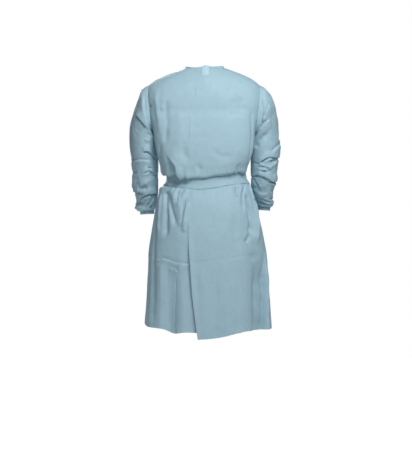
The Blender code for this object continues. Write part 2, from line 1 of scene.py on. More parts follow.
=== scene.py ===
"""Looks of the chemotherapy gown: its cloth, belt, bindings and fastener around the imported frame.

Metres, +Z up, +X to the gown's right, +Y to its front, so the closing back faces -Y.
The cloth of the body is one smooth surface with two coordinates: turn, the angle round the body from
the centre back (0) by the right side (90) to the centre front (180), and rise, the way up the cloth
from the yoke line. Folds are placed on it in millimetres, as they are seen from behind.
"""

from __future__ import annotations

import logging
import math
from dataclasses import dataclass, field
from enum import Enum
from functools import partial
from typing import Any, Callable, Sequence

import bpy
import numpy as np
from mathutils import Euler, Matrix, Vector
from mathutils.kdtree import KDTree

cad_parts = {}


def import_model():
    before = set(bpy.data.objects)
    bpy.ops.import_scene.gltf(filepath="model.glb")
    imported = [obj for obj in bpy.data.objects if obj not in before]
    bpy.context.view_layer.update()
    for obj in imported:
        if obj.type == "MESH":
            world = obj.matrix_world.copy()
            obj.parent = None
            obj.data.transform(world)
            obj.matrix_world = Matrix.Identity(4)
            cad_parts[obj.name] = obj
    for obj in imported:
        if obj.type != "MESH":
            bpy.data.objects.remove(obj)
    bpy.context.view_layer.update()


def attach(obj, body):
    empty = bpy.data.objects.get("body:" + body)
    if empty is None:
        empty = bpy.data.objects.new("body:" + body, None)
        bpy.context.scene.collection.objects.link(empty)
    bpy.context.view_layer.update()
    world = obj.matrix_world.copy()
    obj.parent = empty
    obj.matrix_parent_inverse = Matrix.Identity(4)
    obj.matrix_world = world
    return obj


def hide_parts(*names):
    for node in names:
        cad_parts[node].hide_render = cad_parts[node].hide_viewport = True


LOG = logging.getLogger("gown")
Array = np.ndarray
Row = tuple[float, ...]
Surface = Callable[[Array, Array], Array]
MM = 0.001
BODY = "root"
CLOTH_UV = "cloth"


def hex_colour(code: str) -> tuple[float, float, float, float]:
    """Turns an sRGB hex colour to the linear one that a shader takes.

    Args:
        code: six hex digits, such as "a9c5d1".

    Returns:
        Red, green, blue and alpha, linear.
    """
    parts = [int(code[n:n + 2], 16) / 255.0 for n in (0, 2, 4)]
    red, green, blue = (c / 12.92 if c <= 0.04045 else ((c + 0.055) / 1.055) ** 2.4 for c in parts)
    return red, green, blue, 1.0


def smooth(table_x: Sequence[float], table_y: Sequence[Any], x: Array) -> Array:
    """Reads a table along a smooth curve that never swings past its rows.

    Args:
        table_x: the places of the rows.
        table_y: a value or a point for each row.
        x: where to read.

    Returns:
        The values there, in the shape of x and then of one value.
    """
    order = np.argsort(table_x)
    xs = np.asarray(table_x, float)[order]
    ys = np.asarray(table_y, float)[order]
    flat = ys.reshape(len(xs), -1)
    step = np.diff(xs)[:, None]
    slope = np.diff(flat, axis=0) / step
    same_way = slope[:-1] * slope[1:] > 0
    harmonic = 2 * slope[:-1] * slope[1:] / np.where(same_way, slope[:-1] + slope[1:], 1.0)
    tangent = np.vstack([slope[:1], np.where(same_way, harmonic, 0.0), slope[-1:]])
    x = np.clip(np.asarray(x, float), xs[0], xs[-1])
    i = np.clip(np.searchsorted(xs, x) - 1, 0, len(xs) - 2)
    s = ((x - xs[i]) / step[i, 0])[..., None]
    h = step[i]
    value = (
        flat[i] * (1 + 2 * s) * (1 - s) ** 2
        + tangent[i] * h * s * (1 - s) ** 2
        + flat[i + 1] * s**2 * (3 - 2 * s)
        + tangent[i + 1] * h * s**2 * (s - 1)
    )
    return value.reshape(x.shape + ys.shape[1:])


def column(table: Sequence[Row], index: int) -> list[float]:
    """One column of a table."""
    return [row[index] for row in table]


def ease(value: Array, start: Any, end: Any) -> Array:
    """0 before start, 1 after end, and a soft step between them."""
    s = np.clip((value - start) / (end - start), 0.0, 1.0)
    return s * s * (3 - 2 * s)


def unit(vectors: Array) -> Array:
    """The vectors at a length of 1."""
    return vectors / np.maximum(np.linalg.norm(vectors, axis=-1, keepdims=True), 1e-12)


def wrapped(turn: Array) -> Array:
    """Turns brought between -180 and 180 degrees."""
    return (turn + 180.0) % 360.0 - 180.0


def lengths_along(points: Array) -> Array:
    """Length along a line at each of its points."""
    return np.concatenate([[0.0], np.cumsum(np.linalg.norm(np.diff(points, axis=0), axis=1))])


def read_along(length: Array, values: Array, places: Array) -> Array:
    """Values, three to a point, read at places along a line."""
    return np.stack([np.interp(places, length, values[:, n]) for n in range(3)], axis=-1)


def outward(surface: Surface, a: Array, b: Array, step_a: float, step_b: float) -> Array:
    """Unit normals of a surface.

    Args:
        surface: gives points for two coordinates.
        a: first coordinate, which runs round the piece.
        b: second coordinate, which runs along it.
        step_a: half the step taken in a.
        step_b: half the step taken in b.

    Returns:
        The cross product of the two steps, at a length of 1.
    """
    along = surface(a + step_a, b) - surface(a - step_a, b)
    up = surface(a, b + step_b) - surface(a, b - step_b)
    return unit(np.cross(along, up))


class Profile(Enum):
    """How a fold's height falls off beside its line."""

    SOFT = "soft"
    SHARP = "sharp"
    TENT = "tent"
    LAP = "lap"


@dataclass(frozen=True)
class Fold:
    """One fold in the cloth.

    Attributes:
        line: points in millimetres, (right of the middle, height), as seen from behind.
        half_width: in millimetres.
        depth: in millimetres, above 0 where the cloth stands out.
        profile: how the height falls off beside the line.
        fade: shares of the line over which the fold dies away at its start and end.
    """

    line: tuple[tuple[float, float], ...]
    half_width: float
    depth: float
    profile: Profile = Profile.SOFT
    fade: tuple[float, float] = (0.2, 0.2)


@dataclass
class FoldSet:
    """Folds on one surface, in that surface's own flat coordinates.

    Attributes:
        folds: the folds.
        flatten: turns (right of the middle, height) in metres into flat coordinates in metres.
    """

    folds: Sequence[Fold]
    flatten: Callable[[Array, Array], Array] = field(default=lambda x, z: np.stack([x, z], axis=-1))

    def height(self, places: Array) -> Array:
        """How far the folds move the cloth out.

        Args:
            places: flat coordinates, in metres.

        Returns:
            Heights in metres.
        """
        total = np.zeros(places.shape[:-1])
        for fold in self.folds:
            total += self._one(fold, places)
        return total

    def _one(self, fold: Fold, places: Array) -> Array:
        """Height that one fold gives at the places."""
        marks = np.array(fold.line, float) * MM
        line = self._bent(self.flatten(marks[:, 0], marks[:, 1]))
        start, way = line[:-1], np.diff(line, axis=0)
        length = np.linalg.norm(way, axis=1)
        before = np.concatenate([[0.0], np.cumsum(length)])
        reach = 5.0 * fold.half_width * MM
        low, high = line.min(axis=0) - reach, line.max(axis=0) + reach
        near = np.all((places > low) & (places < high), axis=-1)
        found = places[near]
        if not len(found):
            return np.zeros(places.shape[:-1])
        best = np.full(len(found), np.inf)
        side = np.zeros(len(found))
        share = np.zeros(len(found))
        for n, (first, step, size) in enumerate(zip(start, way, length)):
            away = found - first
            t = np.clip(away @ step / size**2, 0.0, 1.0)
            rest = away - t[:, None] * step
            distance = np.linalg.norm(rest, axis=1)
            closer = distance < best
            sign = np.sign(rest[:, 0] * -step[1] + rest[:, 1] * step[0])
            best = np.where(closer, distance, best)
            side = np.where(closer, distance * sign, side)
            share = np.where(closer, (before[n] + t * size) / before[-1], share)
        fade_in = ease(share, 0.0, fold.fade[0]) if fold.fade[0] else 1.0
        fade_out = 1 - ease(share, 1 - fold.fade[1], 1.0) if fold.fade[1] else 1.0
        right, height = fold.line[0]
        slow, quick = np.sin(share * 9.0 + right * 0.11), np.sin(share * 23.0 + height * 0.07)
        uneven = 1 + 0.18 * slow + 0.10 * quick
        across = side / (fold.half_width * MM * (0.9 + 0.2 * share))
        heights = np.zeros(places.shape[:-1])
        heights[near] = fold.depth * MM * uneven * fade_in * fade_out * self._across(fold.profile, across)
        return heights

    @staticmethod
    def _across(profile: Profile, s: Array) -> Array:
        """Share of a fold's depth beside its line.

        Tents are flat on both sides of a crest. At a lap the cloth on the left stands out, falls steeply at
        the line and dips beyond it.

        Args:
            profile: how the height falls off.
            s: half widths from the line, above 0 to the left of its way.

        Returns:
            The shares.
        """
        if profile is Profile.SOFT:
            return np.exp(-(s**2))
        if profile is Profile.SHARP:
            return np.exp(-np.abs(s) * 1.4)
        if profile is Profile.TENT:
            return np.clip(1.05 - np.sqrt(s**2 + 0.02) / 1.5, 0.0, None)
        slope = np.clip(1.0 - s / 4.4, 0.0, None) ** 1.25
        dip = 0.40 * np.exp(-(((s + 0.85) / 0.55) ** 2))
        return np.where(s > 0, slope, np.exp(-((s / 0.36) ** 2))) - dip

    @staticmethod
    def _bent(line: Array) -> Array:
        """The line with smooth corners."""
        if len(line) < 3:
            return line
        stops = np.arange(len(line))
        return smooth(stops, line, np.linspace(0.0, len(line) - 1.0, 6 * (len(line) - 1) + 1))


class Crumple:
    """Seeded smooth noise through space, for the unevenness of handled cloth."""

    def __init__(self, seed: int, size: int = 24) -> None:
        """Draws the lattice.

        Args:
            seed: of the random numbers.
            size: how many lattice points before it repeats.
        """
        self.size = size
        self.lattice = np.random.default_rng(seed).uniform(-1.0, 1.0, (size, size, size))
        self.skew = np.array(Euler((0.7, 0.5, 0.9)).to_matrix())

    def at(self, points: Array, grain: float) -> Array:
        """Noise between -1 and 1.

        Args:
            points: in metres.
            grain: distance between lattice points, in metres.

        Returns:
            One value for each point.
        """
        place = points @ self.skew / grain + 100.0
        cell = np.floor(place).astype(int)
        s = place - cell
        s = s * s * (3 - 2 * s)
        total = np.zeros(points.shape[:-1])
        for dx in (0, 1):
            for dy in (0, 1):
                for dz in (0, 1):
                    weight = (
                        (s[..., 0] if dx else 1 - s[..., 0])
                        * (s[..., 1] if dy else 1 - s[..., 1])
                        * (s[..., 2] if dz else 1 - s[..., 2])
                    )
                    x, y, z = ((cell[..., n] + d) % self.size for n, d in enumerate((dx, dy, dz)))
                    total += weight * self.lattice[x, y, z]
        return total

    def layered(self, points: Array, layers: Sequence[tuple[float, float]]) -> Array:
        """Sum of noises.

        Args:
            points: in metres.
            layers: (grain, height) of each, in metres.

        Returns:
            Heights in metres.
        """
        return sum(height * self.at(points + 0.37 * n, grain) for n, (grain, height) in enumerate(layers))

    def creased(self, points: Array, layers: Sequence[tuple[float, float]]) -> Array:
        """Sum of crossing creases, flat between them as in stiff cloth.

        Args:
            points: in metres.
            layers: (grain, height) of each, in metres.

        Returns:
            Heights in metres.
        """
        total = np.zeros(points.shape[:-1])
        for n, (grain, height) in enumerate(layers):
            wave = self.at(points + 0.29 * n, grain)
            creased_part = ease(self.at(points + 0.71, 3.1 * grain), -0.25, 0.35)
            total += height * (0.35 - np.sqrt(wave**2 + 0.0016)) * creased_part
        return total


@dataclass(frozen=True)
class GownForm:
    """The worn form of the gown's body: the surface that its panels are cut from.

    Lengths are in metres and turns in degrees.

    Attributes:
        yoke_z: height of the yoke line, where rise is 0.
        armhole_middle: rise at which an armhole is widest.
        armhole_turn: turn of an armhole's back edge.
        neck_middle: how far right of the middle the neck stands.
        neck_stop_turn: turn of the columns that lead to the neck's corner, low on the body.
        neck_stop_heights: between which those columns move over to the corner.
        belt_tilt: how much higher the belt is on the right than at the middle.
        belt_sag: how far it hangs down behind, most at belt_sag_turn.
        belt_reach: height over which the waist follows the belt.
        sleeve_y: place of the sleeves in depth, where the bodice is tucked in over sleeve_reach.
        layer_lift: how far the over panel stands out on the under panel.
        around_scale: metres of flat cloth to a degree of turn.
        shoulder_line: share of the half width, and height of the shoulder there.
        over_edge: height, and how far right of the middle the over panel's free edge is.
        under_edge: the same for the under panel's hidden edge.
        flutes: turn, half width in degrees, depth, top and foot of each large fold of the skirt.
    """

    yoke_z: float = -0.170
    waist_z: float = -0.466
    armpit_z: float = -0.280
    armhole_middle: float = 0.010
    armhole_turn: float = 58.0
    side_turn: float = 90.0
    neck_middle: float = -0.005
    neck_half_width: float = 0.081
    neck_back: float = 0.066
    neck_front: float = 0.095
    neck_stop_turn: float = 44.0
    neck_stop_heights: tuple[float, float] = (-0.22, -0.01)
    belt_z: float = -0.4515
    belt_width: float = 0.045
    belt_tilt: float = 0.004
    belt_sag: float = 0.023
    belt_sag_turn: float = -6.0
    belt_sag_half_width: float = 36.0
    belt_reach: float = 0.12
    sleeve_y: float = 0.030
    sleeve_reach: float = 0.070
    layer_lift: float = 0.0012
    around_scale: float = 0.21 * math.pi / 180.0
    section_columns: tuple[str, ...] = ("z", "left", "right", "back", "front", "square", "tuck")
    sections: tuple[Row, ...] = (
        (-1.140, 0.256, 0.272, 0.200, 0.204, 2.3, 0.00),
        (-1.040, 0.250, 0.266, 0.195, 0.198, 2.3, 0.00),
        (-0.910, 0.2416, 0.258, 0.186, 0.190, 2.3, 0.00),
        (-0.775, 0.2375, 0.252, 0.176, 0.180, 2.3, 0.00),
        (-0.660, 0.224, 0.236, 0.166, 0.170, 2.3, 0.02),
        (-0.590, 0.217, 0.225, 0.156, 0.161, 2.3, 0.06),
        (-0.537, 0.204, 0.209, 0.142, 0.150, 2.3, 0.06),
        (-0.502, 0.192, 0.192, 0.128, 0.142, 2.3, 0.03),
        (-0.486, 0.172, 0.179, 0.117, 0.134, 2.2, 0.00),
        (-0.466, 0.157, 0.166, 0.112, 0.130, 2.2, 0.00),
        (-0.446, 0.159, 0.164, 0.114, 0.131, 2.3, 0.00),
        (-0.428, 0.184, 0.168, 0.129, 0.139, 2.6, 0.03),
        (-0.395, 0.198, 0.187, 0.137, 0.144, 3.1, 0.13),
        (-0.330, 0.212, 0.204, 0.139, 0.143, 3.6, 0.175),
        (-0.270, 0.221, 0.210, 0.136, 0.136, 3.7, 0.175),
        (-0.215, 0.231, 0.218, 0.130, 0.126, 3.7, 0.11),
        (-0.170, 0.240, 0.226, 0.122, 0.116, 3.5, 0.04),
        (-0.110, 0.246, 0.232, 0.122, 0.116, 3.5, 0.00),
        (0.040, 0.246, 0.232, 0.122, 0.116, 3.5, 0.00),
    )
    shoulder_line: tuple[Row, ...] = (
        (0.00, 0.034), (0.33, 0.007), (0.43, -0.001), (0.57, -0.0124), (0.70, -0.0248), (0.80, -0.0365),
        (0.89, -0.0500), (0.96, -0.0640), (1.00, -0.0760),
    )
    over_edge: tuple[Row, ...] = (
        (-1.100, -0.026), (-1.010, -0.038), (-0.910, -0.051), (-0.800, -0.060), (-0.680, -0.067),
        (-0.500, -0.070), (-0.450, -0.071), (-0.330, -0.067), (-0.248, -0.060), (-0.190, -0.053),
        (-0.095, -0.041), (-0.030, -0.010), (0.010, 0.009),
    )
    under_edge: tuple[Row, ...] = (
        (-1.100, 0.140), (-0.800, 0.130), (-0.450, 0.105), (-0.250, 0.100), (-0.100, 0.075), (0.010, 0.050),
    )
    flutes: tuple[Row, ...] = (
        (-56.0, 11.0, 0.010, -0.560, -1.050),
        (-34.0, 8.0, -0.012, -0.640, -1.050),
        (-20.0, 7.0, 0.006, -0.640, -1.050),
        (30.0, 12.0, 0.005, -0.640, -1.050),
        (52.0, 9.0, -0.012, -0.560, -1.050),
        (74.0, 10.0, 0.008, -0.560, -1.050),
        (112.0, 10.0, -0.013, -0.560, -1.050),
        (138.0, 11.0, 0.016, -0.560, -1.050),
        (163.0, 10.0, -0.011, -0.560, -1.050),
        (190.0, 12.0, 0.013, -0.560, -1.050),
        (216.0, 9.0, -0.012, -0.560, -1.050),
        (238.0, 11.0, 0.014, -0.560, -1.050),
        (262.0, 9.0, -0.010, -0.560, -1.050),
    )

    def section(self, name: str, z: Any) -> Array:
        """A value of the body's sections at height z."""
        return smooth(column(self.sections, 0), column(self.sections, self.section_columns.index(name)), z)

    @staticmethod
    def round_shape(turn: Array, square: Array) -> tuple[Array, Array]:
        """The shares of the half width and of the depth at a turn, on a squared ellipse."""
        across, back = np.sin(np.radians(turn)), np.cos(np.radians(turn))
        size = (np.abs(across) ** square + np.abs(back) ** square) ** (1 / square)
        return across / size, back / size

    def yoke_height(self, turn: Array) -> Array:
        """Height of the shoulder line above the yoke line."""
        across, _ = self.round_shape(turn, self.section("square", self.yoke_z))
        line = smooth(column(self.shoulder_line, 0), column(self.shoulder_line, 1), np.abs(across))
        return line - self.yoke_z

    def height_of(self, turn: Array, rise: Array) -> Array:
        """World height of a place on the cloth."""
        top = self.yoke_height(turn)
        over = np.maximum(rise, 0.0)
        return self.yoke_z + np.minimum(rise, 0.0) + top * np.sin(over / top)

    def belt_height(self, turn: Array) -> Array:
        """Height of the belt's middle line, which sags behind."""
        away = wrapped(turn - self.belt_sag_turn)
        sag = self.belt_sag * np.exp(-((away / self.belt_sag_half_width) ** 2))
        return self.belt_z + self.belt_tilt * np.sin(np.radians(turn)) - sag

    def belt_line(self, turn: Array, across: Any) -> Array:
        """Rise of the belt; across runs from 0 at its lower edge to 1 at its upper edge."""
        return self.belt_height(turn) + (across - 0.5) * self.belt_width - self.yoke_z

    def flute_depth(self, turn: Array, z: Array) -> Array:
        """How far the large folds of the skirt move the cloth out."""
        depth = np.zeros_like(z)
        for middle, half_width, most, top, foot in self.flutes:
            away = wrapped(turn - middle)
            depth += most * np.exp(-((away / half_width) ** 2)) * ease(-z, -top, -foot)
        return depth

    def body(self, turn: Array, rise: Array) -> Array:
        """Points of the body's outer surface."""
        turn, rise = np.broadcast_arrays(np.asarray(turn, float), np.asarray(rise, float))
        z = self.height_of(turn, rise)
        near_waist = np.exp(-(((z - self.waist_z) / self.belt_reach) ** 2))
        level = z - (self.belt_height(turn) - self.waist_z) * near_waist
        across, back = self.round_shape(turn, self.section("square", level))
        dome = np.cos(np.maximum(rise, 0.0) / self.yoke_height(turn))
        out = self.flute_depth(turn, z)
        depth = np.where(back > 0, self.section("back", level), self.section("front", level)) + out
        width = np.where(across < 0, self.section("left", level), self.section("right", level)) + out
        y = -depth * back * dome
        press = 1 - self.section("tuck", level) * np.exp(-(((y - self.sleeve_y) / self.sleeve_reach) ** 2))
        return np.stack([width * across * press, y, z], axis=-1)

    def normal(self, turn: Array, rise: Array) -> Array:
        """Unit normals of the body's outer surface."""
        return outward(self.body, turn, rise, 0.05, 0.0005)

    def turn_at(self, x: Array, z: Array) -> Array:
        """The turn on the back at which the cloth lies that far to the right of the middle."""
        width = np.where(x < 0, self.section("left", z), self.section("right", z))
        square = self.section("square", z)
        share = np.clip(np.abs(x) / width, 0.0, 0.999)
        return np.degrees(np.sign(x) * np.arctan2(share, (1 - share**square) ** (1 / square)))

    def free_edge(self, table: Sequence[Row], z: Array) -> Array:
        """Turn of a back panel's free edge at height z."""
        return self.turn_at(smooth(column(table, 0), column(table, 1), z), z)

    def neck_rise(self, turn: Array) -> Array:
        """How far up the cloth the neckline is, or the shoulder seam beyond the neck."""
        top = self.yoke_height(turn)
        across, back = self.round_shape(turn, self.section("square", self.yoke_z))
        width = np.where(across < 0, self.section("left", 0.0), self.section("right", 0.0))
        depth = np.where(back > 0, self.section("back", 0.0), self.section("front", 0.0))
        opening = np.where(back > 0, self.neck_back, self.neck_front)
        share = np.clip(1 - ((across * width - self.neck_middle) / self.neck_half_width) ** 2, 0.0, 1.0)
        level = np.clip(opening * share**0.46 / np.maximum(depth * np.abs(back), 1e-6), 0.0, 1.0)
        return top * np.arccos(level)

    def armhole_rise(self, turn: Array) -> Array:
        """How far up the cloth the lower half of the armhole is, between its back edge and the side."""
        from_side = np.abs(np.abs(wrapped(turn)) - self.side_turn)
        share = np.clip(from_side / (self.side_turn - self.armhole_turn), 0.0, 1.0)
        drop = self.armhole_middle - (self.armpit_z - self.yoke_z)
        return self.armhole_middle - drop * np.sqrt(1 - share**2)

    def hem_rise(self, table: Sequence[Row], turn: Array) -> Array:
        """How far down the cloth the hem is, from a hem table."""
        return smooth(column(table, 0), column(table, 1), turn) - self.yoke_z

    def armhole(self, side: int, around: Array) -> Array:
        """Points of an armhole seam.

        Args:
            side: 1 for the right and -1 for the left.
            around: degrees, 0 at the shoulder, 90 at the back, 180 under the sleeve and 270 at the front.

        Returns:
            The points.
        """
        quarter = np.where(around <= 180.0, around, 360.0 - around)
        bend = np.radians(np.clip(quarter - 90.0, 0.0, 90.0))
        from_side = (self.side_turn - self.armhole_turn) * np.cos(bend)
        turn = np.where(around <= 180.0, self.side_turn - from_side, self.side_turn + from_side)
        top = self.neck_rise(np.where(around <= 180.0, self.armhole_turn, 180 - self.armhole_turn))
        drop = self.armhole_middle - (self.armpit_z - self.yoke_z)
        rise = np.where(
            quarter <= 90.0,
            top + (self.armhole_middle - top) * quarter / 90.0,
            self.armhole_middle - drop * np.sin(bend),
        )
        return self.body(side * turn, rise)

    def neck_stop(self, side: int, z: Array) -> Array:
        """Turn of the line of columns that ends at the neck's corner."""
        low = side * self.neck_stop_turn
        return low + (self.neck_corner(side) - low) * ease(z, *self.neck_stop_heights)

    def neck_corner(self, side: int) -> float:
        """Turn of the neck's corner on the back, on the right for 1 and on the left for -1."""
        return float(self.turn_at(np.array(self.neck_middle + side * self.neck_half_width), np.array(0.0)))

    def over_lift(self, turn: Array, z: Array) -> Array:
        """How far the over panel stands out, on the under panel, before it comes back to the body."""
        under = self.free_edge(self.under_edge, z)
        on_back = ease(turn, -self.side_turn, -self.armhole_turn)
        return self.layer_lift * (1 - ease(turn, under + 7.0, under + 20.0)) * on_back

    def belt_lift(self, turn: Array, z: Array) -> Array:
        """How far the belt's inner side stands out to pass over the overlap of the two back panels."""
        over = self.free_edge(self.over_edge, z)
        past_edge = ease(turn, over - 2.5, over - 0.5)
        return self.over_lift(turn, z) * past_edge * (np.abs(turn) < self.side_turn)

    def flat_back(self, x: Array, z: Array) -> Array:
        """Flat coordinates of a place on the back that is seen from behind at x and z."""
        return np.stack([self.turn_at(x, z) * self.around_scale, z], axis=-1)

    def flat(self, turn: Array, z: Array) -> Array:
        """Flat coordinates of a place, measured from the centre back or the centre front."""
        turn = wrapped(turn)
        near = np.where(np.abs(turn) <= 90.0, turn, np.sign(turn) * 180.0 - turn)
        return np.stack([near * self.around_scale, z], axis=-1)


SHARP, TENT, LAP = Profile.SHARP, Profile.TENT, Profile.LAP
BACK_FOLDS = (
    Fold(((-195, -80), (-199, -137), (-191, -209), (-185, -282)), 10, 4.9, fade=(0.2, 0.3)),
    Fold(((-184, -76), (-187, -116), (-191, -149)), 4, -2.8, SHARP, (0.2, 0.3)),
    Fold(((-163, -124), (-161, -177), (-155, -217), (-159, -269), (-163, -338)), 10, -4.9, fade=(0.25, 0.3)),
    Fold(((-173, -124), (-172, -185)), 7, 3.8, fade=(0.2, 0.3)),
    Fold(((-183, -290), (-187, -338), (-179, -410)), 14, -4.2, fade=(0.3, 0.3)),
    Fold(((-207, -310), (-183, -308), (-151, -310)), 3, 1.5, SHARP, (0.1, 0.1)),
    Fold(((-151, -310), (-38, -290), (83, -286), (175, -286)), 3, -0.5, SHARP, (0.1, 0.1)),
    Fold(((-232, -149), (-226, -157), (-218, -165)), 4.5, -11.4),
    Fold(((-155, -390), (-135, -419), (-111, -451)), 9, -7.6, fade=(0.3, 0.1)),
    Fold(((-163, -354), (-139, -378), (-117, -406), (-99, -435), (-79, -463)), 14, 19, LAP, (0.5, 0)),
    Fold(((-95, -394), (-87, -419), (-75, -453)), 10, -2.8, fade=(0.25, 0)),
    Fold(((-159, -437), (-139, -435), (-115, -449)), 10, 7.6),
    Fold(((-155, -459), (-131, -462), (-103, -461)), 6, 9.5, LAP, (0.1, 0.1)),
    Fold(((-42, -398), (-26, -410), (-14, -423)), 12, -4.8, fade=(0.3, 0.3)),
    Fold(((103, -447), (123, -443), (141, -433), (163, -419)), 7, 7.6, LAP, (0.3, 0.1)),
    Fold(((-18, -451), (-2, -442), (18, -446)), 3, 3.4, SHARP),
    Fold(((135, -390), (139, -415), (143, -435)), 9, -6.6, fade=(0.3, 0.1)),
    Fold(((115, -128), (117, -169), (111, -217)), 14, -3.4, fade=(0.3, 0.3)),
    Fold(((18, -338), (66, -362), (123, -370)), 13, -2.7, fade=(0.3, 0.3)),
    Fold(((-111, -169), (-103, -249), (-119, -338)), 15, 2.8, fade=(0.3, 0.3)),
    Fold(((-91, -298), (-87, -346), (-91, -386)), 12, -3, fade=(0.3, 0.3)),
    Fold(((-60, -189), (-59, -290)), 3, 1.7, SHARP),
    Fold(((-43, -88), (-43, -124)), 3, -2.3, SHARP),
    Fold(((183, -177), (189, -257), (187, -338), (175, -390)), 9, -5.7),
    Fold(((66, -72), (123, -104), (155, -145)), 10, 3, fade=(0.3, 0.3)),
    Fold(((-113, -517), (-97, -588), (-83, -664)), 16, 8.1, fade=(0.15, 0.25)),
    Fold(((-153, -501), (-143, -549), (-129, -604), (-113, -660)), 9, -7.2, fade=(0.1, 0.3)),
    Fold(((-107, -497), (-113, -533), (-111, -557)), 5, -6.3, SHARP, (0, 0.3)),
    Fold(((-79, -529), (-89, -581), (-97, -640)), 5, -8.1, SHARP),
    Fold(((-70, -541), (-79, -600), (-85, -672)), 8, 6.3, TENT, (0.2, 0.1)),
    Fold(((-125, -501), (-127, -565)), 8, 4.5, fade=(0.1, 0.3)),
    Fold(((-85, -505), (-93, -557)), 8, 4.5, fade=(0.1, 0.3)),
    Fold(((-179, -509), (-185, -561), (-191, -680)), 8, 5.4, fade=(0.1, 0.2)),
    Fold(((-159, -501), (-159, -581), (-161, -700)), 12, -10.8, fade=(0.05, 0.2)),
    Fold(((-205, -573), (-207, -700), (-205, -938), (-205, -1038)), 16, -7.2, fade=(0.2, 0.1)),
    Fold(((-225, -780), (-197, -782), (-177, -784)), 3, 3.2, SHARP, (0.05, 0.05)),
    Fold(((-62, -799), (-121, -795), (-149, -785), (-177, -779)), 8, 4.7, LAP, (0.05, 0.05)),
    Fold(((-109, -831), (-129, -817), (-153, -815)), 8, 3.2, LAP, (0.2, 0.3)),
    Fold(((-177, -787), (-177, -898), (-179, -1057)), 17, 6.3, TENT, (0.1, 0)),
    Fold(((-121, -835), (-123, -938), (-127, -1081)), 4, -2.9, SHARP, (0.2, 0)),
    Fold(((146, -473), (147, -521), (149, -596)), 5, -8.1, fade=(0, 0.3)),
    Fold(((131, -477), (133, -525), (137, -565)), 6, 5.4, fade=(0, 0.3)),
    Fold(((161, -509), (171, -553), (181, -592), (185, -636), (183, -688)), 11, -15.3, fade=(0.15, 0.2)),
    Fold(((181, -676), (169, -700), (157, -714)), 8, -9, fade=(0.3, 0.3)),
    Fold(((193, -525), (207, -588), (211, -660), (205, -724)), 15, 12.6, TENT),
    Fold(((149, -757), (189, -767), (229, -759)), 16, -4.5, fade=(0.4, 0.4)),
    Fold(((242, -1073), (240, -922), (234, -724)), 18, -24.3, LAP, (0, 0.5)),
    Fold(((205, -787), (207, -938), (205, -1073)), 16, -7.2, fade=(0.4, 0)),
    Fold(((163, -477), (177, -499), (191, -537)), 5, 6.3, TENT, (0.1, 0.1)),
    Fold(((107, -481), (109, -501), (121, -515)), 5, 5.4, fade=(0.1, 0.3)),
    Fold(((119, -485), (121, -509), (133, -541)), 5, -4.5, fade=(0.1, 0.3)),
    Fold(((-10, -787), (-6, -938), (2, -1097)), 16, 3.6, fade=(0.3, 0)),
    Fold(((42, -819), (42, -1085)), 12, -3.2, fade=(0.3, 0)),
    Fold(((81, -859), (85, -1081)), 12, 3.2, fade=(0.3, 0)),
    Fold(((121, -879), (129, -1077)), 10, -3.2, fade=(0.3, 0)),
    Fold(((-54, -791), (81, -775), (165, -763)), 3, -1.4, SHARP, (0.1, 0.1)),
    Fold(((66, -541), (74, -640), (66, -739)), 20, 2.7, fade=(0.3, 0.3)),
    Fold(((105, -588), (121, -680), (129, -747)), 14, -2.7, fade=(0.3, 0.3)),
)
UNDER_FOLDS = (
    Fold(((-74, -708), (-70, -787), (-66, -898), (-46, -1081)), 17, -9, fade=(0.25, 0)),
)
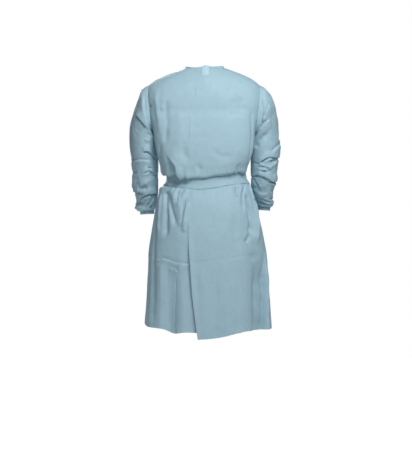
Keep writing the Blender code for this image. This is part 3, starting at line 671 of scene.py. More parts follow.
FRONT_FOLDS = (
    Fold(((-205, -95), (-192, -190), (-176, -290)), 15, -7, fade=(0.2, 0.4)),
    Fold(((-170, -80), (-150, -170), (-148, -275)), 12, 6, fade=(0.2, 0.4)),
    Fold(((-128, -100), (-118, -215), (-128, -330)), 13, -6, fade=(0.3, 0.3)),
    Fold(((-232, -190), (-190, -226), (-140, -240)), 8, 5, TENT, (0.0, 0.6)),
    Fold(((-236, -222), (-196, -262), (-158, -284)), 9, -6, fade=(0.0, 0.5)),
    Fold(((-86, -130), (-60, -200), (-20, -246)), 11, 4.5, fade=(0.2, 0.5)),
    Fold(((-78, -150), (-46, -222), (-6, -262)), 10, -4.5, fade=(0.2, 0.5)),
    Fold(((92, -124), (70, -196), (34, -240)), 11, 4, fade=(0.2, 0.5)),
    Fold(((104, -150), (86, -220), (52, -268)), 10, -5, fade=(0.2, 0.5)),
    Fold(((198, -92), (190, -180), (170, -282)), 15, -7, fade=(0.2, 0.4)),
    Fold(((160, -84), (150, -180), (156, -290)), 12, 5.5, fade=(0.2, 0.4)),
    Fold(((234, -196), (194, -236), (150, -252)), 8, 5.5, TENT, (0.0, 0.6)),
    Fold(((238, -232), (198, -276), (166, -300)), 9, -6, fade=(0.0, 0.5)),
    Fold(((14, -250), (20, -320), (8, -392)), 14, -5, fade=(0.3, 0.3)),
    Fold(((52, -270), (48, -330), (58, -396)), 12, 4, fade=(0.3, 0.3)),
    Fold(((-207, -303), (-80, -296), (60, -292), (190, -298)), 3, -0.8, SHARP, (0.25, 0.25)),
    Fold(((206, -330), (160, -372), (96, -426)), 10, -8, fade=(0.3, 0.0)),
    Fold(((178, -322), (134, -372), (72, -424)), 9, 6, fade=(0.35, 0.0)),
    Fold(((-204, -326), (-156, -376), (-112, -428)), 10, -8, fade=(0.3, 0.0)),
    Fold(((-176, -320), (-126, -374), (-84, -428)), 9, 6, fade=(0.35, 0.0)),
    Fold(((-64, -340), (-52, -390), (-56, -428)), 8, -6, fade=(0.4, 0.0)),
    Fold(((-36, -352), (-30, -396), (-28, -428)), 7, 5, fade=(0.4, 0.0)),
    Fold(((26, -346), (20, -392), (26, -428)), 8, -6, fade=(0.4, 0.0)),
    Fold(((-205, -774), (-100, -780), (40, -776), (208, -770)), 4, -1.6, LAP, (0.1, 0.1)),
    Fold(((-196, -476), (-206, -560), (-198, -700)), 11, -7, fade=(0.0, 0.4)),
    Fold(((-168, -476), (-172, -580), (-186, -760)), 11, 7, fade=(0.0, 0.3)),
    Fold(((-132, -476), (-146, -570), (-140, -720)), 9, -7, fade=(0.0, 0.4)),
    Fold(((-98, -476), (-106, -560), (-92, -700)), 9, -8, fade=(0.0, 0.3)),
    Fold(((-66, -476), (-72, -590), (-58, -830)), 12, -5, fade=(0.0, 0.3)),
    Fold(((-28, -476), (-24, -560), (-34, -660)), 9, -5, fade=(0.0, 0.5)),
    Fold(((52, -476), (68, -570), (60, -740)), 10, -8, fade=(0.0, 0.3)),
    Fold(((92, -476), (104, -600), (110, -850)), 11, 8, fade=(0.0, 0.3)),
    Fold(((124, -476), (140, -560), (136, -680)), 9, -7, fade=(0.0, 0.4)),
    Fold(((160, -480), (176, -590), (182, -800)), 11, 7, fade=(0.0, 0.3)),
    Fold(((192, -480), (208, -580), (204, -700)), 10, -7, fade=(0.0, 0.4)),
    Fold(((8, -800), (16, -930), (10, -1056)), 17, -7, fade=(0.4, 0.0)),
    Fold(((-122, -780), (-134, -910), (-130, -1052)), 16, -7, fade=(0.4, 0.0)),
    Fold(((-60, -860), (-54, -1056)), 15, 6, fade=(0.4, 0.0)),
    Fold(((148, -790), (160, -920), (154, -1052)), 17, -7, fade=(0.4, 0.0)),
    Fold(((86, -880), (92, -1056)), 15, 6, fade=(0.4, 0.0)),
)
LEFT_SLEEVE_FOLDS = (
    Fold(((-235, -72), (-238, -117), (-239, -145)), 4, 2.8, SHARP, (0.1, 0.2)),
    Fold(((-230, -158), (-230, -211), (-228, -260)), 10, 4.6),
    Fold(((-244, -105), (-245, -145), (-245, -194)), 7, -5.6),
    Fold(((-284, -184), (-264, -210), (-239, -242)), 6, 11.1, LAP, (0.2, 0.15)),
    Fold(((-239, -266), (-227, -274), (-215, -276)), 6, -3.7, fade=(0.3, 0.3)),
    Fold(((-251, -289), (-235, -295), (-219, -293)), 6, 3.7, fade=(0.3, 0.3)),
    Fold(((-258, -341), (-239, -337), (-223, -345), (-198, -361)), 6.5, 14.8, LAP, (0.2, 0.05)),
    Fold(((-221, -362), (-209, -364), (-194, -368)), 5, -9.2, fade=(0.2, 0.1)),
    Fold(((-194, -385), (-235, -380), (-268, -378), (-313, -382)), 7.5, 6.3, LAP, (0.1, 0.05)),
    Fold(((-239, -404), (-223, -408), (-202, -410)), 4, -7.4, fade=(0.3, 0.2)),
    Fold(((-260, -430), (-243, -419), (-227, -412)), 5, 8.3, LAP, (0.3, 0.2)),
    Fold(((-264, -434), (-247, -432), (-227, -425)), 6, 5.6),
    Fold(((-233, -417), (-211, -423), (-182, -421)), 6, 14.8, LAP, (0.2, 0)),
    Fold(((-227, -435), (-206, -438), (-182, -435)), 5, -7.4, fade=(0.2, 0)),
    Fold(((-305, -423), (-292, -423), (-280, -423)), 6, -9.2, fade=(0, 0.4)),
    Fold(((-268, -475), (-253, -474), (-237, -473)), 4.5, 8.3, LAP),
    Fold(((-260, -466), (-239, -462), (-219, -452)), 7, 4.6),
    Fold(((-280, -487), (-256, -488), (-237, -489)), 7, -5.6),
    Fold(((-305, -502), (-280, -502), (-264, -504), (-249, -511)), 5, 14.8, LAP, (0, 0.15)),
    Fold(
        ((-274, -532), (-262, -522), (-243, -512), (-227, -508), (-202, -506)),
        5.5, 13.9, LAP, (0.15, 0.05),
    ),
    Fold(((-284, -546), (-270, -550), (-258, -556)), 5, -16.7, fade=(0.15, 0.2)),
    Fold(((-268, -534), (-247, -530), (-223, -520)), 6, 7.4),
    Fold(((-243, -558), (-229, -542), (-215, -524)), 4, -9.2),
    Fold(((-231, -567), (-219, -552), (-206, -534)), 4, -9.2),
    Fold(((-251, -558), (-237, -542), (-223, -528)), 4, 5.6),
    Fold(((-237, -565), (-223, -548), (-211, -530)), 4, 5.6),
    Fold(((-301, -567), (-280, -568), (-260, -573)), 5, 7.4, fade=(0, 0.4)),
    Fold(((-272, -578), (-251, -580), (-235, -584), (-215, -579)), 4, 5.6, LAP, (0.1, 0.1)),
    Fold(((-286, -440), (-286, -460), (-282, -481)), 9, -4.6),
)
RIGHT_SLEEVE_FOLDS = (
    Fold(((221, -162), (221, -215)), 8, 3.3),
    Fold(((233, -117), (231, -162), (227, -194), (223, -227)), 3.75, -8.8),
    Fold(((268, -150), (249, -172), (237, -199), (227, -223)), 7.2, 8.8, LAP, (0.15, 0.2)),
    Fold(((266, -209), (239, -231), (219, -250), (202, -258)), 7.2, 10.5, LAP, (0.2, 0.1)),
    Fold(((264, -260), (241, -280), (219, -301), (202, -325)), 10.5, -7, fade=(0.25, 0.1)),
    Fold(((313, -307), (292, -325), (272, -348)), 6.4, 10.5, LAP, (0, 0.3)),
    Fold(((221, -384), (243, -367), (264, -360), (309, -360)), 5.6, 14, LAP, (0.1, 0)),
    Fold(((237, -383), (256, -374), (276, -369)), 8, 8.8, TENT),
    Fold(((260, -376), (274, -378), (290, -374)), 3.75, -10.5),
    Fold(((180, -370), (202, -380), (225, -387)), 4.8, 9.6, LAP, (0, 0.2)),
    Fold(((213, -395), (239, -398), (268, -411)), 4.8, 10.5, LAP, (0.2, 0.1)),
    Fold(((176, -408), (202, -408), (223, -414), (260, -416)), 4.8, 10.5, LAP, (0, 0.2)),
    Fold(((253, -415), (276, -397), (305, -372)), 5, 5.4, fade=(0.2, 0)),
    Fold(((178, -423), (206, -421), (231, -425)), 6, 4.3, fade=(0, 0.2)),
    Fold(
        ((174, -436), (211, -433), (231, -437), (256, -448), (276, -459), (305, -455)),
        6.4, 17.5, LAP, (0, 0.05),
    ),
    Fold(((268, -473), (284, -470), (305, -464)), 6, 6.5, fade=(0.1, 0.1)),
    Fold(((192, -444), (206, -464), (223, -489)), 4, -6.1, SHARP, (0.1, 0.3)),
    Fold(((204, -448), (219, -473), (235, -493)), 4, 5.2, SHARP, (0.1, 0.3)),
    Fold(((194, -485), (215, -505), (239, -515), (268, -509)), 6, 5.4),
    Fold(((202, -509), (219, -528), (239, -541), (264, -550), (288, -546)), 4, 10.5, LAP, (0.1, 0)),
    Fold(((215, -519), (235, -526), (276, -542)), 4, 8.8, LAP, (0.1, 0.1)),
    Fold(((206, -536), (227, -556), (260, -567)), 4, 7.9, LAP, (0.1, 0.1)),
    Fold(((251, -554), (290, -551)), 6, 5.4, fade=(0.2, 0)),
    Fold(((260, -532), (288, -530)), 4.5, -7, fade=(0.2, 0)),
    Fold(((268, -497), (292, -497)), 5.25, -6.1, fade=(0.3, 0)),
)


def belt_gathers(form: GownForm, front: bool, seed: int) -> list[Fold]:
    """Short uneven gathers above and below the belt, more of them towards the sides.

    Args:
        form: the gown's form.
        front: whether they are on the front.
        seed: of the random numbers.

    Returns:
        The folds.
    """
    rng = np.random.default_rng(seed)
    folds = []
    for place in np.arange(-150.0, 156.0, 14.0):
        x = place + rng.uniform(-5.0, 5.0)
        turn = form.turn_at(np.array(x * MM), np.array(form.belt_z))
        middle = float(form.belt_height(180.0 - turn if front else turn)) / MM
        calm = 1.0 if front or x < -60 or x > 95 else 0.4
        half = form.belt_width / MM / 2
        for way in (1.0, -1.0):
            length = rng.uniform(22.0, 60.0)
            slope = rng.uniform(-0.2, 0.2) + (x / 800.0 if way < 0 else x / 900.0)
            depth = rng.uniform(1.2, 2.8) * calm * (1 if rng.random() < 0.5 else -1)
            foot = middle + way * (half - 1.0)
            top = foot + way * length
            line = ((x, foot), (x + slope * length, top))
            folds.append(Fold(line, rng.uniform(3.5, 6.0), depth, fade=(0.0, 0.7)))
    return folds


@dataclass
class Drape:
    """The body's surface with its folds, blouse and crumple.

    Attributes:
        form: the gown's form.
        lip_out: how far the bodice stands out where it hangs over the belt.
        lip_drop: how far it hangs down there.
        lip_rise: height of its middle above the belt's upper edge.
        lip_half_height: half its height.
        lip_uneven: how much its overhang varies.
        lip_patch: length round the waist over which it varies.
        pin_reach: distance from a seam over which the folds grow to their full depth.
        side_hem_z: height at which the side seams end.
        press: share of the folds' height that the belt presses flat.
        press_half: half the height that it presses, in belt widths.
        sleeve_side: turn to each side of the side line within which the sleeve holds the cloth in.
        sleeve_hold: share of the outward folds that it presses flat there.
        knot_turn: the turn at which the belt's knot stands.
        knot_part: turn to each side of the knot within which the bodice doesn't hang over the belt.
        pucker_height: height of the small puckers beside a seam, pucker_wave apart.
        pucker_patch: size of the patches in which they show.
        seam_flat: width of the flat strip along a seam.
        crumple: seeded noise.
        layers: grain and height of the soft unevenness.
        creases: grain and height of the crossing creases.
    """

    form: GownForm
    lip_out: float = 0.0031
    lip_drop: float = 0.0075
    lip_rise: float = 0.015
    lip_half_height: float = 0.012
    lip_uneven: float = 0.55
    lip_patch: float = 0.034
    pin_reach: float = 0.012
    side_hem_z: float = -1.06
    press: float = 0.97
    press_half: float = 0.62
    sleeve_side: float = 24.0
    sleeve_hold: float = 0.95
    knot_turn: float = 205.0
    knot_part: float = 9.5
    pucker_height: float = 0.0005
    pucker_wave: float = 0.017
    pucker_reach: float = 0.011
    pucker_patch: float = 0.045
    seam_flat: float = 0.003
    crumple: Crumple = field(default_factory=lambda: Crumple(11))
    layers: tuple[tuple[float, float], ...] = ((0.110, 0.0016), (0.042, 0.0007), (0.016, 0.0002))
    creases: tuple[tuple[float, float], ...] = ((0.080, 0.0020), (0.034, 0.0008))

    def __post_init__(self) -> None:
        """Gathers the folds and the seams that hold the cloth."""
        form = self.form
        flat = form.flat_back
        self.back = FoldSet((*BACK_FOLDS, *belt_gathers(form, False, 5)), flat)
        self.front = FoldSet((*FRONT_FOLDS, *belt_gathers(form, True, 6)), flat)
        self.under = FoldSet(UNDER_FOLDS, flat)
        around = np.linspace(0.0, 360.0, 181)
        seams = [form.armhole(side, around) for side in (-1, 1)]
        for side in (-1.0, 1.0):
            drop = np.linspace(self.side_hem_z, form.armpit_z, 200) - form.yoke_z
            seams.append(form.body(np.full_like(drop, side * form.side_turn), drop))
        turns = np.linspace(-180.0, 180.0, 721)
        on_yoke = np.abs(np.abs(turns) - 90.0) > 90.0 - form.armhole_turn
        seams.append(form.body(turns[on_yoke], form.neck_rise(turns[on_yoke])))
        points = np.concatenate(seams)
        self.seams = KDTree(len(points))
        for n, point in enumerate(points):
            self.seams.insert(Vector(point), n)
        self.seams.balance()

    def seam_distance(self, points: Array) -> Array:
        """Distance from each point to the nearest sewn edge."""
        flat = points.reshape(-1, 3)
        return np.array([self.seams.find(Vector(p))[2] for p in flat]).reshape(points.shape[:-1])

    def place(self, turn: Array, rise: Array, lift: Array, beneath: bool = False) -> Array:
        """Points of the draped cloth.

        Args:
            turn: in degrees.
            rise: in metres up the cloth.
            lift: how far the panel stands out of the body's surface.
            beneath: whether it is the panel that the other one laps over.

        Returns:
            The points.
        """
        form = self.form
        base, normal = form.body(turn, rise), form.normal(turn, rise)
        flat = form.flat(turn, base[..., 2])
        is_back = np.abs(wrapped(turn)) <= 90.0
        folds = np.where(is_back, self.back.height(flat), self.front.height(flat))
        folds += self.crumple.layered(base, self.layers) + self.crumple.creased(base + 0.43, self.creases)
        if beneath:
            folds += self.under.height(flat)
        across = (rise - form.belt_line(turn, 0.0)) / form.belt_width
        above = rise - form.belt_line(turn, 1.0)
        pressed = 1 - self.press * np.exp(-(((across - 0.5) / self.press_half) ** 6))
        distance = self.seam_distance(base)
        held = ease(distance, 0.0, self.pin_reach)
        out = folds * held * pressed + self._pucker(base, distance) * pressed
        out = np.where(out > 0, out * (1 - self.sleeve_hold * self._beside_sleeve(turn, above)), out)
        parted = self._parted(turn, above)
        out *= parted
        lip = self._lip(base, above) * held * parted
        points = base + normal * (lift + out + self.lip_out * lip)[..., None]
        points[..., 2] -= self.lip_drop * lip
        return points

    def _pucker(self, base: Array, distance: Array) -> Array:
        """Height of the small puckers beside the seams, which show in patches."""
        beside = self.pucker_height * np.exp(-((distance / self.pucker_reach) ** 2))
        waves = np.sin(2 * np.pi * (base[..., 2] * 0.8 + base[..., 1] + base[..., 0]) / self.pucker_wave)
        patches = np.maximum(self.crumple.at(base + 0.2, self.pucker_patch), 0.0) * 1.6
        return beside * ease(distance, 0.0, self.seam_flat) * (waves * patches)

    def _beside_sleeve(self, turn: Array, above: Array) -> Array:
        """1 where the sleeve lies on the bodice, and 0 away from it."""
        from_side = np.abs(np.abs(wrapped(turn)) - 90.0)
        by_sleeve = np.clip(1 - from_side / self.sleeve_side, 0.0, 1.0) * ease(above, 0.02, 0.06)
        return ease(by_sleeve, 0.0, 0.5)

    def _parted(self, turn: Array, above: Array) -> Array:
        """0 where the bodice makes way for the knot, and 1 away from it."""
        by_knot = np.exp(-((wrapped(turn - self.knot_turn) / self.knot_part) ** 4))
        return 1 - by_knot * (1 - ease(above, 0.02, 0.05)) * (above > 0)

    def _lip(self, base: Array, above: Array) -> Array:
        """How strongly the bodice hangs over the belt, unevenly round the waist."""
        hang = np.exp(-(((above - self.lip_rise) / self.lip_half_height) ** 2)) * ease(above, 0.0, 0.005)
        noise = self.crumple.at(base * np.array([1.0, 1.0, 0.0]), self.lip_patch)
        return hang * (1.0 + self.lip_uneven * noise)


def add_node(
    tree: bpy.types.NodeTree, kind: str, inputs: dict[Any, Any] | None = None, **settings: Any
) -> Any:
    """Adds a shader node with its settings and links.

    Args:
        tree: the node tree.
        kind: the node's type name.
        inputs: for an input's name or number, a value or the output that feeds it.
        settings: the node's own properties.

    Returns:
        The node.
    """
    node = tree.nodes.new(kind)
    for name, value in settings.items():
        setattr(node, name, value)
    for key, value in (inputs or {}).items():
        if isinstance(value, bpy.types.NodeSocket):
            tree.links.new(value, node.inputs[key])
        else:
            node.inputs[key].default_value = value
    return node


@dataclass
class Finish:
    """A finish with its own material, and a slot name that this script doesn't use."""

    name: str = ""
    slot: str = ""
    material: bpy.types.Material | None = None

    def make(self) -> bpy.types.Material:
        """Builds the material once."""
        if self.material is None:
            self.material = bpy.data.materials.new(self.name)
            self.material.use_nodes = True
            tree = self.material.node_tree
            self.dress(partial(add_node, tree), tree.links, tree.nodes["Principled BSDF"].inputs)
        return self.material

    def dress(self, add: Callable[..., Any], links: bpy.types.NodeLinks, shader: Any) -> None:
        """Adds the finish's nodes.

        Args:
            add: adds a node to the material.
            links: the material's links.
            shader: the shader's inputs.
        """
        raise NotImplementedError


@dataclass
class SpunbondCloth(Finish):
    """Spunbond nonwoven of polypropylene: matt fibre web, cloudy from its uneven fibres, spot welded.

    Spot welds stand 1.6 mm apart in life and are drawn at 2.2 mm, as fine as a close view can show.
    """

    name: str = "coated_spunbond_nonwoven"
    slot: str = "gown_cloth"
    light: str = "a8c6d2"
    dark: str = "a0becb"
    weld: str = "9ab6c2"
    weld_pitch: float = 0.0022
    cloud_size: float = 0.019
    crease_size: float = 0.030
    roughness: float = 0.56
    sheen: float = 0.06

    def dress(self, add: Callable[..., Any], links: bpy.types.NodeLinks, shader: Any) -> None:
        """Adds the finish's nodes."""
        place = add("ShaderNodeTexCoord").outputs["Object"]
        flat = add("ShaderNodeUVMap", uv_map=CLOTH_UV).outputs["UV"]
        clouds = add(
            "ShaderNodeTexNoise",
            {"Vector": place, "Scale": 1 / self.cloud_size, "Detail": 5.0, "Roughness": 0.62},
        )
        tint = add("ShaderNodeValToRGB", {"Fac": clouds.outputs["Fac"]})
        tint.color_ramp.elements[0].position = 0.30
        tint.color_ramp.elements[0].color = hex_colour(self.dark)
        tint.color_ramp.elements[1].position = 0.70
        tint.color_ramp.elements[1].color = hex_colour(self.light)
        turned = add(
            "ShaderNodeMapping",
            {"Vector": flat, "Rotation": (0.0, 0.0, math.radians(45.0)), "Scale": (1 / self.weld_pitch,) * 3},
        )
        welds = add(
            "ShaderNodeTexVoronoi",
            {"Vector": turned.outputs["Vector"], "Scale": 1.0, "Randomness": 0.08}, voronoi_dimensions="2D",
        )
        spot = add(
            "ShaderNodeMapRange", {"Value": welds.outputs["Distance"], "From Min": 0.18, "From Max": 0.34}
        )
        speckle = add(
            "ShaderNodeMix",
            {0: spot.outputs["Result"], 6: hex_colour(self.weld), 7: tint.outputs["Color"]}, data_type="RGBA",
        )
        links.new(speckle.outputs[2], shader["Base Color"])
        fibres = add("ShaderNodeTexNoise", {"Vector": place, "Scale": 420.0, "Detail": 3.0, "Roughness": 0.7})
        soft = {"Detail": 3.0, "Roughness": 0.5, "Distortion": 0.6}
        crease = add("ShaderNodeTexNoise", {"Vector": place, "Scale": 1 / self.crease_size, **soft})
        relief = (
            (crease.outputs["Fac"], 0.25, 0.003),
            (fibres.outputs["Fac"], 0.25, 0.0005),
            (spot.outputs["Result"], 0.35, 0.00025),
        )
        below: dict[Any, Any] = {}
        for height, strength, distance in relief:
            inputs = {"Height": height, "Strength": strength, "Distance": distance, **below}
            below = {"Normal": add("ShaderNodeBump", inputs).outputs["Normal"]}
        links.new(below["Normal"], shader["Normal"])
        rough_range = {"To Min": self.roughness - 0.06, "To Max": self.roughness + 0.08}
        gloss = add(
            "ShaderNodeMapRange",
            {"Value": clouds.outputs["Fac"], "From Min": 0.3, "From Max": 0.7, **rough_range},
        )
        links.new(gloss.outputs["Result"], shader["Roughness"])
        shader["Sheen Weight"].default_value = self.sheen
        shader["Sheen Roughness"].default_value = 0.5
        shader["Specular IOR Level"].default_value = 0.26


@dataclass
class FastenerTape(Finish):
    """Hook and loop tape of nylon: a flat woven ground with a dense matt pile, paler than the gown."""

    name: str = "hook_and_loop_tape"
    slot: str = "fastener_tape"
    light: str = "bedae6"
    dark: str = "a6c4d1"
    pile: float = 0.0011

    def dress(self, add: Callable[..., Any], links: bpy.types.NodeLinks, shader: Any) -> None:
        """Adds the finish's nodes."""
        flat = add("ShaderNodeUVMap", uv_map=CLOTH_UV).outputs["UV"]
        pile = add(
            "ShaderNodeTexVoronoi",
            {"Vector": flat, "Scale": 1 / self.pile, "Randomness": 0.5}, voronoi_dimensions="2D",
        )
        tint = add("ShaderNodeValToRGB", {"Fac": pile.outputs["Distance"]})
        tint.color_ramp.elements[0].color = hex_colour(self.light)
        tint.color_ramp.elements[1].color = hex_colour(self.dark)
        links.new(tint.outputs["Color"], shader["Base Color"])
        bumps = add(
            "ShaderNodeBump",
            {"Height": pile.outputs["Distance"], "Strength": 0.6, "Distance": 0.0006}, invert=True,
        )
        links.new(bumps.outputs["Normal"], shader["Normal"])
        shader["Roughness"].default_value = 0.78
        shader["Sheen Weight"].default_value = 0.2


@dataclass
class SewingThread(Finish):
    """Spun polyester thread: twisted strands with a faint shine, paler than the cloth, in fine dashes."""

    name: str = "spun_polyester_thread"
    slot: str = "gown_cloth"
    pale: str = "c6dde5"
    deep: str = "a9c4cf"
    strand_pitch: float = 0.0005
    pitch: float = 0.0042
    length: float = 0.0030
    half_width: float = 0.00045
    height: float = 0.00038

    def dress(self, add: Callable[..., Any], links: bpy.types.NodeLinks, shader: Any) -> None:
        """Adds the finish's nodes."""
        place = add("ShaderNodeTexCoord").outputs["Object"]
        wave = {"Vector": place, "Scale": 0.16 / self.strand_pitch, "Distortion": 1.5}
        strands = add("ShaderNodeTexWave", wave, bands_direction="DIAGONAL")
        tint = add("ShaderNodeValToRGB", {"Fac": strands.outputs["Fac"]})
        tint.color_ramp.elements[0].color = hex_colour(self.deep)
        tint.color_ramp.elements[1].color = hex_colour(self.pale)
        links.new(tint.outputs["Color"], shader["Base Color"])
        bump = add("ShaderNodeBump", {"Height": strands.outputs["Fac"], "Strength": 0.4, "Distance": 0.0001})
        links.new(bump.outputs["Normal"], shader["Normal"])
        shader["Roughness"].default_value = 0.42

    def rows(self, name: str, lines: Sequence[tuple[Array, Array]]) -> bpy.types.Object:
        """Lays rows of stitches on a piece.

        Args:
            name: the name of the stitches.
            lines: for each row its points on the cloth and the outward directions there.

        Returns:
            One object with a small closed form for each stitch.
        """
        vertices, faces = [], []
        for points, facing in lines:
            length = lengths_along(points)
            centres = np.arange(self.pitch / 2, length[-1] - self.pitch / 2, self.pitch)
            half = self.length / 2
            start, middle, end = (read_along(length, points, centres + shift * half) for shift in (-1, 0, 1))
            out = unit(read_along(length, facing, centres))
            side = np.cross(unit(end - start), out) * self.half_width
            low, high = -0.25 * self.height * out, self.height * out
            ring = [start - side + low, start + side + low, end + side + low, end - side + low]
            inset_start, inset_end = start + 0.25 * (middle - start), end + 0.25 * (middle - end)
            ring += [inset_start - 0.6 * side + high, inset_start + 0.6 * side + high]
            ring += [inset_end + 0.6 * side + high, inset_end - 0.6 * side + high]
            for corners in np.stack(ring, axis=1):
                first = len(vertices)
                vertices += corners.tolist()
                box = ((3, 2, 1, 0), (4, 5, 6, 7), (0, 1, 5, 4), (1, 2, 6, 5), (2, 3, 7, 6), (3, 0, 4, 7))
                faces += [tuple(first + corner for corner in face) for face in box]
        mesh = bpy.data.meshes.new(name)
        mesh.from_pydata(vertices, [], faces)
        mesh.materials.append(self.make())
        piece = bpy.data.objects.new(name, mesh)
        bpy.context.scene.collection.objects.link(piece)
        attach(piece, BODY)
        return piece


@dataclass
class SheetGrid:
    """A sheet of cloth as a grid of points.

    Attributes:
        points: (columns, rows, 3), in metres.
        normals: outward directions, in the same shape.
        cells: which cells hold cloth.
        closed: whether the last column joins the first.
    """

    points: Array
    normals: Array
    cells: Array
    closed: bool = False

    def flat_map(self) -> Array:
        """Map coordinates in metres along the cloth, for the grid's corners and one more closing column."""
        points = np.concatenate([self.points, self.points[:1]]) if self.closed else self.points
        across = np.linalg.norm(np.diff(points, axis=0), axis=-1)
        up = np.linalg.norm(np.diff(points, axis=1), axis=-1)
        u = np.concatenate([np.zeros((1, points.shape[1])), np.cumsum(across, axis=0)])
        v = np.concatenate([np.zeros((points.shape[0], 1)), np.cumsum(up, axis=1)], axis=1)
        u -= u[len(u) // 2]
        return np.stack([u, v], axis=-1)

    def make(self, name: str, finish: Any, wall: float) -> bpy.types.Object:
        """Makes the piece.

        Args:
            name: the piece's name.
            finish: what it is made of.
            wall: thickness of the cloth.

        Returns:
            A closed mesh object at the origin.
        """
        columns, rows = self.points.shape[:2]
        i, j = np.nonzero(self.cells)
        k = (i + 1) % columns if self.closed else i + 1
        quads = np.stack([i * rows + j, k * rows + j, k * rows + j + 1, i * rows + j + 1], axis=1)
        far = (i + 1) * rows + j
        corners = np.stack([i * rows + j, far, far + 1, i * rows + j + 1], axis=1)
        flat = self.points.reshape(-1, 3)
        faces = flat[quads]
        facing = np.cross(faces[:, 2] - faces[:, 0], faces[:, 3] - faces[:, 1])
        if np.sum(facing * self.normals.reshape(-1, 3)[quads[:, 0]]) < 0:
            quads, corners = quads[:, ::-1], corners[:, ::-1]
        used, index = np.unique(quads, return_inverse=True)
        mesh = bpy.data.meshes.new(name)
        mesh.from_pydata(flat[used].tolist(), [], index.reshape(-1, 4).tolist())
        layer = mesh.uv_layers.new(name=CLOTH_UV)
        layer.data.foreach_set("uv", self.flat_map().reshape(-1, 2)[corners].ravel())
        mesh.materials.append(finish.make())
        mesh.update()
        piece = bpy.data.objects.new(name, mesh)
        bpy.context.scene.collection.objects.link(piece)
        bpy.ops.object.select_all(action="DESELECT")
        bpy.context.view_layer.objects.active = piece
        piece.select_set(True)
        thick = piece.modifiers.new("wall", "SOLIDIFY")
        thick.thickness = wall
        thick.offset = -1.0
        bpy.ops.object.modifier_apply(modifier=thick.name)
        bpy.ops.object.shade_smooth_by_angle(angle=math.radians(50.0))
        piece.select_set(False)
        return piece


def register(
    piece: bpy.types.Object, node: str, finish: Any, flat: tuple[float, float], held: str, **facts: Any
) -> None:
    """Attaches a finished sheet to the body, hides the CAD node that it stands for and logs its faces and
    area.

    Args:
        piece: the finished piece.
        node: the CAD node that it replaces.
        finish: what it is made of; not used.
        flat: cut width and length in metres; not used.
        held: how the sheet is held; not used.
        facts: the sheet's other facts, such as rests_on and area; not used.
    """
    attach(piece, BODY)
    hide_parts(node)
    faces = piece.data.polygons
    cloth_area = sum(face.area for face in faces) / 2
    LOG.info("%s stands for %s: %d faces, %.4f square metres", piece.name, node, len(faces), cloth_area)


def between(stops: Sequence[Array], spans: Sequence[Array]) -> Array:
    """Values at every line of a grid, from those at its named lines.

    Args:
        stops: the values at each named line.
        spans: shares of the way at which the lines stand, from each named line to the next.

    Returns:
        The values, one row for each line.
    """
    lines = [(n, share) for n, span in enumerate(spans) for share in span] + [(len(spans) - 1, 1.0)]
    rows = []
    for i, (n, share) in enumerate(lines):
        start, end = stops[n][i], stops[n + 1][i]
        rows.append(start + (end - start) * share)
    return np.stack(rows)


def even(count: int) -> Array:
    """Shares for lines that stand evenly."""
    return np.arange(count) / count


